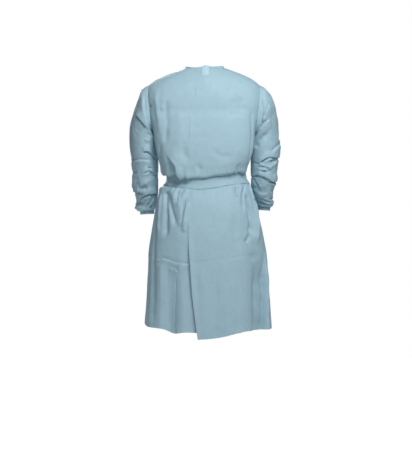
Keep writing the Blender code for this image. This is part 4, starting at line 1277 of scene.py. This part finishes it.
@dataclass
class BodyPanels:
    """Front and two overlapping back panels.

    Attributes:
        columns_side: columns between a side seam and an armhole's edge.
        columns_back: columns in each span between the armholes, behind.
        rows: rows of the skirt, under the belt, of the bodice and of the yoke.
        row_lean: how far the rows draw together towards the belt.
        settling: rounds in which the rows find their heights, by settling_step of the way in each.
        evening: rounds in which the yoke's columns are spaced out.
        edge_flare: how far the over panel's free edge stands out at the hem.
        hem_under: turn and height of the under panel's hem.
        hem_shared: the hem that the rows of both back panels follow.
    """

    drape: Drape
    finish: SpunbondCloth
    wall: float = 0.0006
    columns_side: int = 44
    columns_back: tuple[int, ...] = (15, 40, 54, 18, 16)
    columns_front: tuple[int, ...] = (14, 60, 14)
    rows: tuple[int, ...] = (140, 14, 76, 44)
    row_lean: float = 1.12
    settling: int = 44
    settling_step: float = 0.2
    evening: int = 24
    edge_flare: float = 0.0055
    edge_flare_width: float = 0.013
    hem_under: tuple[Row, ...] = (
        (-90.0, -1.041), (-60.0, -1.050), (-43.0, -1.054), (-29.0, -1.072), (-18.0, -1.066), (-6.0, -1.068),
        (50.0, -1.070),
    )
    hem_shared: tuple[Row, ...] = (
        (-90.0, -1.041), (-60.0, -1.050), (-43.0, -1.054), (-29.0, -1.066), (60.0, -1.063), (90.0, -1.061),
    )
    hem_over: tuple[Row, ...] = (
        (-10.0, -1.094), (0.0, -1.092), (9.0, -1.088), (17.0, -1.081), (24.0, -1.073), (37.0, -1.063),
        (60.0, -1.063), (90.0, -1.061),
    )
    hem_front: tuple[Row, ...] = (
        (90.0, -1.061), (130.0, -1.052), (180.0, -1.058), (230.0, -1.048), (270.0, -1.041),
    )

    def _side_lines(self, from_side: bool) -> Array:
        """Shares for the lines between the side and the armhole."""
        bend = np.radians(90.0 * even(self.columns_side))
        return np.sin(bend) if from_side else 1 - np.cos(bend)

    def _grid(
        self, counts: Sequence[int], stops_at: Callable[[Array], Sequence[Any]], hem: Sequence[Row]
    ) -> tuple[Array, Array, Array]:
        """Turns, rises and cells of the grid of the front or of the whole back.

        Args:
            counts: columns in each span between the armholes.
            stops_at: gives the turns of the named lines for heights.
            hem: the hem table.

        Returns:
            Turns, rises and cells.
        """
        form = self.drape.form
        side, yoke_row = self.columns_side, sum(self.rows[:3])
        spans = [self._side_lines(True), *map(even, counts), self._side_lines(False)]
        columns = sum(counts) + 2 * side + 1
        yoke = np.zeros(columns, bool)
        yoke[side:columns - side] = True
        z = np.zeros((columns, sum(self.rows) + 1))
        skirt, under_belt, bodice, top = map(even, self.rows)
        shares = [1 - (1 - skirt) ** self.row_lean, under_belt, bodice ** self.row_lean, top]
        for _ in range(self.settling):
            turn = between([stop + 0 * z for stop in stops_at(z)], spans)
            middle = np.where(yoke[:, None], form.armhole_middle, form.armhole_rise(turn))
            belt = [form.belt_line(turn, edge) for edge in (0.0, 1.0)]
            lines = [form.hem_rise(hem, turn), *belt, middle, form.neck_rise(turn)]
            rise = between([line.T for line in lines], shares).T
            z = z + self.settling_step * (form.height_of(turn, rise) - z)
        for part in (turn[:, yoke_row:], rise[:, yoke_row:]):
            for _ in range(self.evening):
                part[:, 1:-1] = (part[:, :-2] + 2 * part[:, 1:-1] + part[:, 2:]) / 4
        cells = np.ones((columns - 1, sum(self.rows)), bool)
        cells[:side, yoke_row:] = False
        cells[-side:, yoke_row:] = False
        return turn, rise, cells

    def _with_hem(self, turn: Array, rise: Array, shared: Sequence[Row], own: Sequence[Row]) -> Array:
        """Rises with the skirt's rows stretched from the shared hem to a panel's own hem."""
        form = self.drape.form
        belt = form.belt_line(turn, 0.0)
        old, new = form.hem_rise(shared, turn), form.hem_rise(own, turn)
        share = np.clip((belt - rise) / (belt - old), 0.0, None)
        return np.where(rise < belt, belt - share * (belt - new), rise)

    def _panel(
        self, name: str, grid: tuple[Array, Array, Array], lift: Array, beneath: bool = False
    ) -> bpy.types.Object:
        """Makes one panel from its part of a grid."""
        turn, rise, cells = grid
        points = self.drape.place(turn, rise, lift, beneath)
        return SheetGrid(points, self.drape.form.normal(turn, rise), cells).make(name, self.finish, self.wall)

    def build(self) -> list[bpy.types.Object]:
        form = self.drape.form
        turn, rise, cells = self._grid(
            self.columns_front,
            lambda z: (
                form.side_turn,
                180.0 - form.armhole_turn,
                180.0 - form.neck_stop(1, z),
                180.0 - form.neck_stop(-1, z),
                180.0 + form.armhole_turn,
                180.0 + form.side_turn,
            ),
            self.hem_front,
        )
        front = self._panel("front_panel", (turn, rise, cells), np.zeros_like(turn))
        register(front, "front", self.finish, (0.80, 1.10), "hung", area=0.76)
        turn, rise, cells = self._grid(
            self.columns_back,
            lambda z: (
                -form.side_turn,
                -form.armhole_turn,
                form.neck_stop(-1, z),
                form.free_edge(form.over_edge, z),
                form.free_edge(form.under_edge, z),
                form.neck_stop(1, z),
                form.armhole_turn,
                form.side_turn,
            ),
            self.hem_shared,
        )
        over = self.columns_side + sum(self.columns_back[:2])
        under = over + self.columns_back[2]
        z = form.height_of(turn, rise)
        lift = form.over_lift(turn, z)
        from_edge = (turn - turn[over]) * form.around_scale
        flare = self.edge_flare * np.exp(-((from_edge / self.edge_flare_width) ** 2))
        lift = lift + flare * ease(-z, 0.58, 0.75)
        own = self._with_hem(turn, rise, self.hem_shared, self.hem_over)
        right = self._panel("back_panel_right", (turn[over:], own[over:], cells[over:]), lift[over:])
        register(right, "back_right", self.finish, (0.54, 1.13), "hung", area=0.50)
        own = self._with_hem(turn, rise, self.hem_shared, self.hem_under)
        kept = slice(under + 1)
        grid = (turn[kept], own[kept], cells[:under])
        left = self._panel("back_panel_left", grid, np.zeros_like(turn[kept]), beneath=True)
        register(left, "back_left", self.finish, (0.56, 1.10), "hung", area=0.50)
        return [front, right, left]


SLEEVE_LEFT_ROWS = (
    (-0.253, -0.088, -0.193, -0.283, 0.000, 0.086),
    (-0.275, -0.129, -0.1925, -0.292, 0.003, 0.084),
    (-0.2975, -0.173, -0.1925, -0.302, 0.007, 0.081),
    (-0.311, -0.222, -0.193, -0.316, 0.011, 0.078),
    (-0.315, -0.272, -0.194, -0.336, 0.015, 0.075),
    (-0.312, -0.326, -0.195, -0.362, 0.018, 0.071),
    (-0.305, -0.372, -0.1955, -0.392, 0.021, 0.067),
    (-0.304, -0.420, -0.196, -0.430, 0.026, 0.064),
    (-0.305, -0.466, -0.197, -0.470, 0.035, 0.062),
    (-0.297, -0.502, -0.198, -0.503, 0.048, 0.058),
    (-0.290, -0.540, -0.203, -0.537, 0.066, 0.053),
    (-0.2945, -0.562, -0.209, -0.560, 0.078, 0.050),
    (-0.290, -0.576, -0.214, -0.574, 0.081, 0.045),
    (-0.2730, -0.583, -0.2175, -0.581, 0.083, 0.034),
)
SLEEVE_RIGHT_ROWS = (
    (0.243, -0.086, 0.190, -0.283, 0.000, 0.086),
    (0.274, -0.124, 0.187, -0.292, 0.003, 0.084),
    (0.293, -0.172, 0.1855, -0.302, 0.007, 0.081),
    (0.3005, -0.222, 0.1855, -0.316, 0.011, 0.078),
    (0.304, -0.272, 0.186, -0.336, 0.015, 0.075),
    (0.308, -0.322, 0.187, -0.362, 0.018, 0.071),
    (0.302, -0.368, 0.1875, -0.392, 0.021, 0.067),
    (0.2985, -0.420, 0.188, -0.430, 0.026, 0.064),
    (0.293, -0.466, 0.189, -0.466, 0.035, 0.061),
    (0.285, -0.500, 0.194, -0.497, 0.048, 0.056),
    (0.281, -0.530, 0.202, -0.525, 0.066, 0.052),
    (0.284, -0.549, 0.211, -0.543, 0.078, 0.049),
    (0.280, -0.561, 0.217, -0.557, 0.081, 0.043),
    (0.2700, -0.567, 0.2210, -0.564, 0.083, 0.033),
)


@dataclass
class Sleeve:
    """A sleeve, from its armhole seam to its gathered cuff seam, and its elastic cuff.

    Attributes:
        side: 1 for the right and -1 for the left.
        table: outer x and z, inner x and z, middle y and half the depth of each ring down the sleeve.
        leave: how fast the cloth leaves the armhole seam.
        gathers: waves that the elastic gathers round the cuff.
        front_shift: how far the hidden front's folds are moved from those behind.
        front_share: their share of the depth.
        inner_press: share of the outward folds that the body presses flat.
        stitch_row: row of the casing that is sewn.
        fold_limit: most that a fold moves the cloth.
        layers: grain and height of the soft unevenness.
        creases: grain and height of the crossing creases.
    """

    form: GownForm
    finish: SpunbondCloth
    name: str
    side: int
    table: tuple[Row, ...]
    folds: tuple[Fold, ...]
    crumple: Crumple
    thread: SewingThread
    columns: int = 132
    rows: int = 160
    wall: float = 0.0008
    leave: float = 0.030
    gathers: int = 23
    gather_height: float = 0.0022
    front_shift: tuple[float, float] = (0.012, -0.016)
    front_share: float = 0.8
    inner_press: float = 0.97
    cuff_width: float = 0.012
    cuff_rows: int = 8
    cuff_wall: float = 0.0014
    stitch_row: int = 2
    armhole_gap: float = 0.0005
    fold_limit: float = 0.0085
    layers: tuple[tuple[float, float], ...] = ((0.070, 0.0018), (0.030, 0.0010), (0.014, 0.0004))
    creases: tuple[tuple[float, float], ...] = ((0.045, 0.0036), (0.021, 0.0019))

    def surface(self, around: Array, along: Array) -> Array:
        """Points of the plain tube; along counts the table's rows, 0 at the armhole."""
        rows = np.array(self.table)
        rings = np.concatenate([rows[:1], rows])
        leave = np.array([self.side * 0.92, 0.0, -0.40]) * self.leave
        around, along = np.broadcast_arrays(np.asarray(around, float), np.asarray(along, float))
        cosine, sine = np.cos(np.radians(around)), np.sin(np.radians(around))
        value = smooth(np.arange(len(rings)), rings, np.maximum(along, 0.0))
        outer_x, outer_z, inner_x, inner_z, middle_y, depth = np.moveaxis(value, -1, 0)
        ring = np.stack(
            [
                (outer_x + inner_x) / 2 + (outer_x - inner_x) / 2 * cosine,
                middle_y - depth * sine,
                (outer_z + inner_z) / 2 + (outer_z - inner_z) / 2 * cosine,
            ],
            axis=-1,
        )
        start = self.form.armhole(self.side, around % 360.0) + leave * along[..., None]
        share = (1 - ease(along, 0.0, 3.0))[..., None]
        return ring + (start - ring) * share

    def _gather(self, around: Array) -> Array:
        """Height of the elastic's gathers round the cuff, between -1 and 1."""
        angle = np.radians(around)
        wave = np.sin(angle * self.gathers + 0.9 * np.sin(3 * angle))
        return wave * (0.75 + 0.25 * np.sin(5 * angle + 1.0))

    def build(self) -> list[bpy.types.Object]:
        around, along = np.broadcast_arrays(
            (360.0 * even(self.columns))[:, None], np.linspace(0.0, len(self.table), self.rows + 1)[None, :]
        )
        base = self.surface(around, along)
        normal = outward(self.surface, around, along, 1.0, 0.02) * self.side
        seen = base[..., [0, 2]]
        back = FoldSet(self.folds).height(seen)
        front = FoldSet(self.folds).height(seen + np.array(self.front_shift))
        cosine, sine = np.cos(np.radians(around)), np.sin(np.radians(around))
        behind = ease(sine, -0.25, 0.25)
        out = back * behind + self.front_share * front * (1 - behind)
        out += self.crumple.layered(base, self.layers) + self.crumple.creased(base + 0.61, self.creases)
        inner = ease(-cosine, 0.1, 0.7) * (1 - ease(along, 8.0, 10.0))
        out = np.where(out > 0, out * (1 - self.inner_press * inner), out)
        length = np.linalg.norm(base - base[:, :1], axis=-1)
        from_end = np.linalg.norm(base - base[:, -1:], axis=-1)
        out *= ease(length, 0.0, 0.03) * ease(from_end, 0.0, 0.012)
        limit = self.fold_limit * (1 - 0.45 * ease(cosine, 0.75, 0.98))
        out = limit * np.tanh(out / limit)
        out += self.gather_height * self._gather(around) * np.exp(-((from_end / 0.016) ** 2))
        points = base + normal * out[..., None]
        points[:, 0] += unit(points[:, 1] - points[:, 0]) * self.armhole_gap
        cells = np.ones((self.columns, self.rows), bool)
        sheet = SheetGrid(points, normal, cells, closed=True)
        tube = sheet.make(f"sleeve_{self.name}_tube", self.finish, self.wall)
        register(tube, "sleeve_" + self.name, self.finish, (0.60, 0.62), "hung", area=0.21)
        return [tube, self._cuff(points[:, -1], around[:, 0])]

    def _cuff(self, end: Array, around: Array) -> bpy.types.Object:
        """Makes the gathered casing that runs on below the sleeve's end."""
        middle = end.mean(axis=0)
        out = unit(end - middle)
        share = np.linspace(0.0, 1.0, self.cuff_rows + 1)
        bulge = 0.0012 * np.sin(np.pi * share) ** 0.7
        height = (self._gather(around) * self.gather_height)[:, None]
        gather = height * (0.35 * np.sin(share * 3.0) - 0.5 * share)
        drop = 0.0003 + share * self.cuff_width
        points = end[:, None] + out[:, None] * (bulge + gather)[..., None]
        points[..., 2] -= drop
        cells = np.ones((len(end), self.cuff_rows), bool)
        sheet = SheetGrid(points, np.repeat(out[:, None], len(share), axis=1), cells, closed=True)
        cuff = sheet.make(f"cuff_{self.name}_casing", self.finish, self.cuff_wall)
        ring = np.concatenate([points[:, self.stitch_row], points[:1, self.stitch_row]])
        stitches = self.thread.rows(f"cuff_{self.name}_stitches", [(ring, np.concatenate([out, out[:1]]))])
        register(
            cuff,
            "cuff_" + self.name,
            self.finish,
            (0.26, 0.014),
            "gathered",
            rests_on=[f"sleeve_{self.name}_tube"],
            with_pieces=[stitches],
        )
        return cuff


@dataclass
class Belt:
    """The belt round the waist with its knot and two tails.

    Attributes:
        gap: distance from the body's cloth.
        swell: how far the belt stands out along its middle.
        creases: grain and height of its unevenness.
        knot_size: width, depth and height of the knot.
        knot_band: half the width of the end wrapped round it, which ends over knot_band_edge.
        knot_pleat: height of its pleats.
        knot_crease: height of the creases beside it.
        tail_lengths: of the left and the right one.
        tail_spread: turn by which they part on the way down.
        tail_clear: distance from the skirt.
        tail_tuck: how far a tail starts inside the knot.
        tail_radius: of the waist where they hang.
    """

    drape: Drape
    finish: SpunbondCloth
    thread: SewingThread
    gap: float = 0.0006
    wall: float = 0.0008
    columns: int = 300
    rows: int = 12
    swell: float = 0.0024
    creases: tuple[tuple[float, float], ...] = ((0.028, 0.0009), (0.011, 0.0006))
    knot_size: tuple[float, float, float] = (0.046, 0.022, 0.050)
    knot_clear: float = 0.0052
    knot_columns: int = 132
    knot_rows: int = 85
    knot_band: float = 0.42
    knot_band_edge: float = 0.05
    knot_pleat: float = 0.040
    knot_crease: float = 0.055
    tail_width: float = 0.036
    tail_lengths: tuple[float, float] = (0.300, 0.264)
    tail_columns: int = 10
    tail_rows: int = 70
    tail_spread: float = 4.4
    tail_clear: float = 0.004
    tail_tuck: float = 0.0016
    tail_wall: float = 0.0014
    tail_radius: float = 0.16

    def build(self) -> list[bpy.types.Object]:
        """Makes the belt, the knot and the tails."""
        form = self.drape.form
        turn = (360.0 * even(self.columns) - 180.0)[:, None]
        across = np.linspace(0.0, 1.0, self.rows + 1)[None, :]
        turn, across = np.broadcast_arrays(turn, across)
        rise = form.belt_line(turn, across)
        z = form.height_of(turn, rise)
        lift = form.belt_lift(turn, z)
        base, normal = form.body(turn, rise), form.normal(turn, rise)
        own = self.swell * np.sin(np.pi * across) ** 0.8
        for shift, (grain, height) in zip((0.5, 0.9), self.creases):
            own += height * (1 + self.drape.crumple.at(base + shift, grain)) / 2
        points = base + normal * (lift + self.gap + self.wall + own)[..., None]
        cells = np.ones((self.columns, self.rows), bool)
        belt = SheetGrid(points, normal, cells, closed=True).make("belt_band", self.finish, self.wall)
        ring = np.concatenate([points, points[:1]])
        facing = np.concatenate([normal, normal[:1]])
        sewn = [(ring[:, row], facing[:, row]) for row in (1, self.rows - 1)]
        stitches = self.thread.rows("belt_stitches", sewn)
        register(
            belt,
            "belt",
            self.finish,
            (0.045, 1.02),
            "laid",
            rests_on=["front_panel", "back_panel_right"],
            with_pieces=[stitches],
        )
        return [belt, *self._knot_and_tails()]

    def _knot_and_tails(self) -> list[bpy.types.Object]:
        """Makes the knot at the front and the tails that hang from it."""
        form, knot_turn = self.drape.form, self.drape.knot_turn
        rise = form.belt_line(np.array(knot_turn), 0.5)
        middle = form.body(knot_turn, rise)
        out = form.normal(np.array(knot_turn), rise)
        out = unit(out * np.array([1.0, 1.0, 0.0]))
        place = middle + out * (self.gap + self.wall + self.knot_clear + self.knot_size[1] / 2)
        pieces = [self._knot(place, out)]
        for name, way, length in zip(("left", "right"), (1.0, -1.0), self.tail_lengths):
            pieces.append(self._tail("belt_tail_" + name, way, length, place[2]))
        return pieces

    def _knot(self, place: Array, out: Array) -> bpy.types.Object:
        """Makes the knot, a rounded form with the belt's pleated end wrapped aslant round it.

        Args:
            place: the knot's middle.
            out: the level way that it faces.

        Returns:
            The knot.
        """
        right = np.array([out[1], -out[0], 0.0])
        up = np.array([0.0, 0.0, 1.0])
        around = np.radians(360.0 * even(self.knot_columns))[:, None]
        along = np.linspace(-1.0, 1.0, self.knot_rows)[None, :]
        cosine, sine = np.cos(around), np.sin(around)
        swell = (1 - np.abs(along) ** 3.2) ** (1 / 3.2)
        square = (np.abs(cosine) ** 3 + np.abs(sine) ** 3) ** (-1 / 3)
        from_band = 0.52 * cosine * square * swell + 0.86 * along + 0.10 * np.sin(3.0 * cosine)
        band = 0.5 + 0.5 * np.tanh((self.knot_band - np.abs(from_band)) / self.knot_band_edge)
        pleats = self.knot_pleat * np.cos(15.0 * from_band + 1.2 * cosine) * band
        beside = self.knot_crease * np.sin(8.0 * cosine + 2.6 * along) * (1 - band)
        radius = square * swell * (0.80 + 0.19 * band + pleats + beside)
        half = np.array(self.knot_size) / 2
        x = half[0] * cosine * radius
        y = half[1] * sine * radius
        height = half[2] * along + 0 * around
        return self._closed_knot(place + x[..., None] * right + y[..., None] * out + height[..., None] * up)

    def _tail(self, name: str, way: float, length: float, knot_z: float) -> bpy.types.Object:
        """Makes a tail, which leaves the knot narrowed and gathered and opens out as it hangs.

        Args:
            name: the CAD node that it replaces.
            way: 1 for the left tail and -1 for the right one.
            length: of the tail.
            knot_z: height of the knot's middle.

        Returns:
            The tail.
        """
        form = self.drape.form
        share = np.linspace(1.0, 0.0, self.tail_rows + 1)[None, :]
        across = np.linspace(-0.5, 0.5, self.tail_columns + 1)[:, None]
        half_turn = math.degrees(self.tail_width / 2 / self.tail_radius)
        narrow = 1 - 0.30 * np.exp(-share / 0.06)
        middle = self.drape.knot_turn + way * (half_turn * 0.62 + self.tail_spread * share)
        turn = middle + across * half_turn * narrow
        foot = knot_z - self.knot_size[2] / 2 + self.tail_tuck
        rise = foot - share * length - form.yoke_z + 0 * turn
        clear = self.tail_clear + self.knot_size[1] / 2 * np.exp(-share / 0.08) + 0 * turn
        level = form.normal(turn, rise) * np.array([1.0, 1.0, 0.0])
        sides = 0.004 * (0.5 + 0.5 * np.sin(share * 9.0 + way)) * (2 * across) ** 2
        gather = 0.0022 * np.exp(-share / 0.05) * np.cos(across * 26.0)
        uneven = 0.0012 * self.drape.crumple.at(form.body(turn, rise) + 0.3 * way, 0.03)
        curl = sides + gather + uneven + 0.0016
        points = form.body(turn, rise) + level * (clear + self.wall + curl)[..., None]
        cells = np.ones((self.tail_columns, self.tail_rows), bool)
        tail = SheetGrid(points, level, cells).make(name + "_strip", self.finish, self.tail_wall)
        register(tail, name, self.finish, (self.tail_width, length), "hung", rests_on=["belt_knot_wrap"])
        return tail

    def _closed_knot(self, points: Array) -> bpy.types.Object:
        """Makes the knot's closed form from its rings."""
        columns, rows = points.shape[:2]
        vertices = points.reshape(-1, 3).tolist()
        faces = []
        for i in range(columns):
            k = (i + 1) % columns
            for a, b in zip(range(i * rows, (i + 1) * rows - 1), range(k * rows, (k + 1) * rows - 1)):
                faces.append((a, b, b + 1, a + 1))
        mesh = bpy.data.meshes.new("belt_knot_wrap")
        mesh.from_pydata(vertices, [], faces)
        piece = bpy.data.objects.new("belt_knot_wrap", mesh)
        bpy.context.scene.collection.objects.link(piece)
        bpy.ops.object.select_all(action="DESELECT")
        bpy.context.view_layer.objects.active = piece
        piece.select_set(True)
        bpy.ops.object.mode_set(mode="EDIT")
        bpy.ops.mesh.select_all(action="SELECT")
        bpy.ops.mesh.remove_doubles(threshold=0.0002)
        bpy.ops.mesh.normals_make_consistent(inside=False)
        bpy.ops.object.mode_set(mode="OBJECT")
        layer = mesh.uv_layers.new(name=CLOTH_UV)
        coordinates = np.array([mesh.vertices[loop.vertex_index].co[:] for loop in mesh.loops])
        layer.data.foreach_set("uv", coordinates[:, [0, 2]].ravel())
        mesh.materials.append(self.finish.make())
        bpy.ops.object.shade_smooth_by_angle(angle=math.radians(50.0))
        piece.select_set(False)
        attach(piece, BODY)
        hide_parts("belt_knot")
        return piece


@dataclass
class NeckEdge:
    """The neck's binding and its hook and loop tab.

    Attributes:
        binding_lean: how far the binding leans in, to a rise of 1.
        binding_gap: distance from the neckline.
        tab_swell: how far the tab's soft pile holds it off.
    """

    form: GownForm
    cloth: SpunbondCloth
    tape: FastenerTape
    thread: SewingThread
    crumple: Crumple
    binding_width: float = 0.0085
    binding_lean: float = 0.55
    binding_gap: float = 0.0007
    binding_wall: float = 0.0014
    tab_width: float = 0.025
    tab_height: float = 0.062
    tab_wall: float = 0.0009
    tab_gap: float = 0.0004
    tab_swell: float = 0.0012

    def _frame(self, turn: Array, rise: Array) -> tuple[Array, Array, Array]:
        """Points of the neckline, and the ways that the binding stands up and faces there."""
        base = self.form.body(turn, rise)
        along = unit(np.gradient(base, axis=0))
        to_middle = unit(np.array([self.form.neck_middle, 0.0, 0.0]) - base * np.array([1.0, 1.0, 0.0]))
        up = to_middle * self.binding_lean + np.array([0.0, 0.0, 1.0])
        up = unit(up - along * np.sum(up * along, axis=-1, keepdims=True))
        return base, up, np.cross(along, up)

    def build(self) -> list[bpy.types.Object]:
        """Makes the binding and the tab."""
        return [self._binding(), self._tab()]

    def _binding(self) -> bpy.types.Object:
        """Makes the narrow folded binding that stands on the neckline."""
        form = self.form
        start = float(form.free_edge(form.over_edge, np.array(0.0)))
        end = 360.0 + float(form.free_edge(form.under_edge, np.array(0.0)))
        right, left = form.neck_corner(1), form.neck_corner(-1)
        parts = ((start, right), (180.0 - right, 180.0 - left), (360.0 + left, end))
        turn = np.concatenate([np.linspace(first, last, 300) for first, last in parts])
        line = form.body(turn, form.neck_rise(turn))
        length = lengths_along(line)
        place = np.linspace(0.0, length[-1], 210)
        nearest = np.clip(np.searchsorted(length, place), 0, len(turn) - 1)
        turn = turn[nearest]
        rise = form.neck_rise(turn)
        base, up, face = self._frame(turn, rise)
        under = ease(turn, 300.0, 330.0)
        on_right = turn < 180.0
        over = form.over_lift(np.where(on_right, turn, 180.0), form.height_of(turn, rise)) * on_right
        foot = base + up * self.binding_gap + form.normal(turn, rise) * over[:, None]
        share = np.linspace(0.0, 1.0, 9)
        bulge = 0.0010 * np.sin(np.pi * share) ** 0.6
        pucker = 0.0006 * self.crumple.at(base, 0.012)[:, None] * share
        pucker = pucker + 0.0007 * self.crumple.at(base + 0.4, 0.03)[:, None]
        points = foot[:, None] + up[:, None] * (share * self.binding_width)[None, :, None]
        points = points + face[:, None] * (bulge + pucker - 0.0006 * under[:, None])[..., None]
        cells = np.ones((len(turn) - 1, len(share) - 1), bool)
        sheet = SheetGrid(points, np.repeat(face[:, None], len(share), axis=1), cells)
        binding = sheet.make("neck_binding_band", self.cloth, self.binding_wall)
        stitches = self.thread.rows("neck_binding_stitches", [(points[:, 2], face)])
        register(
            binding,
            "neck_binding",
            self.cloth,
            (0.0115, 0.60),
            "laid",
            rests_on=["front_panel"],
            with_pieces=[stitches],
        )
        return binding

    def _tab(self) -> bpy.types.Object:
        """Makes the tab that closes the neck over the over panel's corner and its binding."""
        form = self.form
        half_turn = float(form.turn_at(np.array(self.tab_width / 2), np.array(0.0)))
        turn = np.linspace(-half_turn, half_turn, 15)
        base, up, face = self._frame(turn, form.neck_rise(turn))
        turn = turn[:, None] + np.zeros(22)
        drop = np.linspace(self.tab_height - self.binding_width, 0.0, 22)
        rise = form.neck_rise(turn) - drop
        normal = form.normal(turn, rise)
        lift = form.over_lift(turn, form.height_of(turn, rise))
        rows = form.body(turn, rise) + normal * lift[..., None]
        steps = np.linspace(0.0, 1.0, 6)[1:]
        rest = up[:, None] * (steps * self.binding_width)[None, :, None]
        upper = (base + normal[:, -1] * lift[:, -1:])[:, None] + rest
        points = np.concatenate([rows, upper], axis=1)
        turned = unit(normal[:, -1:] * (1 - steps[None, :, None]) + face[:, None] * steps[None, :, None])
        facing = np.concatenate([normal, turned], axis=1)
        points = points + facing * (self.tab_gap + self.tab_wall + self.tab_swell)
        cells = np.ones((points.shape[0] - 1, points.shape[1] - 1), bool)
        tab = SheetGrid(points, facing, cells).make("neck_tab_tape", self.tape, self.tab_wall)
        columns, rows = points.shape[0] - 2, points.shape[1] - 2
        down, right = np.arange(rows, 0, -1), np.arange(1, columns + 1)
        i = np.concatenate([np.full(rows, 1), right, np.full(rows, columns), right[::-1]])
        j = np.concatenate([down, np.full(columns, 1), down[::-1], np.full(columns, rows)])
        stitches = self.thread.rows("neck_tab_stitches", [(points[i, j], facing[i, j])])
        register(
            tab,
            "neck_tab",
            self.tape,
            (self.tab_width, self.tab_height),
            "laid",
            rests_on=["back_panel_right", "neck_binding_band"],
            with_pieces=[stitches],
        )
        return tab


@dataclass
class Studio:
    """Camera, lights and floor."""

    centre: tuple[float, float, float] = (0.002, 0.0, -0.640)
    distance: float = 4.5
    view_height: float = 1.8595
    floor_z: float = -1.530

    def build(self) -> None:
        """Makes the camera, the lights, the sky and the floor."""
        scene = bpy.context.scene
        camera = bpy.data.cameras.new("camera")
        camera.sensor_width = 36.0
        camera.lens = 36.0 * self.distance / self.view_height
        stand = bpy.data.objects.new("camera", camera)
        stand.location = (self.centre[0], -self.distance, self.centre[2])
        stand.rotation_euler = (math.radians(90.0), 0.0, 0.0)
        scene.collection.objects.link(stand)
        scene.camera = stand
        scene.view_settings.view_transform = "Standard"
        self._light("key", (0.58, -1.80, 1.12), 1.0, 51.0)
        self._light("fill", (-2.0, -3.4, 0.8), 1.6, 9.0)
        self._light("rear", (-0.9, 3.4, 1.2), 1.8, 125.0)
        self._sky()
        self._floor()

    def _light(self, name: str, place: tuple[float, float, float], size: float, power: float) -> None:
        """Adds a soft square light aimed at the gown."""
        data = bpy.data.lights.new(name, "AREA")
        data.shape = "SQUARE"
        data.size = size
        data.energy = power
        lamp = bpy.data.objects.new(name, data)
        lamp.location = place
        lamp.rotation_euler = (Vector(self.centre) - Vector(place)).to_track_quat("-Z", "Y").to_euler()
        bpy.context.scene.collection.objects.link(lamp)

    def _sky(self) -> None:
        """Makes the even white surround, dimmer as a light than it looks."""
        world = bpy.data.worlds.new("studio")
        world.use_nodes = True
        tree = world.node_tree
        seen = add_node(tree, "ShaderNodeBackground", {"Color": (1.0, 1.0, 1.0, 1.0), "Strength": 1.0})
        light = tree.nodes["Background"]
        light.inputs["Color"].default_value = (0.70, 0.90, 1.0, 1.0)
        light.inputs["Strength"].default_value = 0.12
        path = add_node(tree, "ShaderNodeLightPath")
        mixed = add_node(
            tree,
            "ShaderNodeMixShader",
            {0: path.outputs["Is Camera Ray"], 1: light.outputs[0], 2: seen.outputs[0]},
        )
        tree.links.new(mixed.outputs[0], tree.nodes["World Output"].inputs["Surface"])
        bpy.context.scene.world = world

    def _floor(self) -> None:
        """Makes the plain pale floor."""
        bpy.ops.object.select_all(action="DESELECT")
        place = (0.0, 0.0, self.floor_z)
        bpy.ops.mesh.primitive_circle_add(vertices=96, radius=3.0, fill_type="NGON", location=place)
        floor = bpy.context.object
        floor.name = "studio_floor"
        bpy.ops.object.transform_apply(location=True, rotation=True, scale=True)
        paint = bpy.data.materials.new("matt_floor_paint")
        paint.use_nodes = True
        tree = paint.node_tree
        shader = tree.nodes["Principled BSDF"]
        shader.inputs["Base Color"].default_value = hex_colour("f2f2f2")
        shader.inputs["Roughness"].default_value = 0.9
        shader.inputs["Emission Color"].default_value = (1.0, 1.0, 1.0, 1.0)
        path = add_node(tree, "ShaderNodeLightPath")
        glow = add_node(tree, "ShaderNodeMapRange", {"Value": path.outputs["Is Camera Ray"], "To Max": 0.6})
        tree.links.new(glow.outputs["Result"], shader.inputs["Emission Strength"])
        floor.data.materials.append(paint)


def main() -> None:
    """Builds every piece in order."""
    logging.basicConfig(level=logging.INFO, format="%(name)s: %(message)s")
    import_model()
    Studio().build()
    form = GownForm()
    cloth, tape, thread = SpunbondCloth(), FastenerTape(), SewingThread()
    drape = Drape(form)
    BodyPanels(drape, cloth).build()
    Sleeve(form, cloth, "left", -1, SLEEVE_LEFT_ROWS, LEFT_SLEEVE_FOLDS, Crumple(21), thread).build()
    Sleeve(form, cloth, "right", 1, SLEEVE_RIGHT_ROWS, RIGHT_SLEEVE_FOLDS, Crumple(22), thread).build()
    Belt(drape, cloth, thread).build()
    NeckEdge(form, cloth, tape, thread, Crumple(31)).build()


if __name__ == "__main__":
    main()
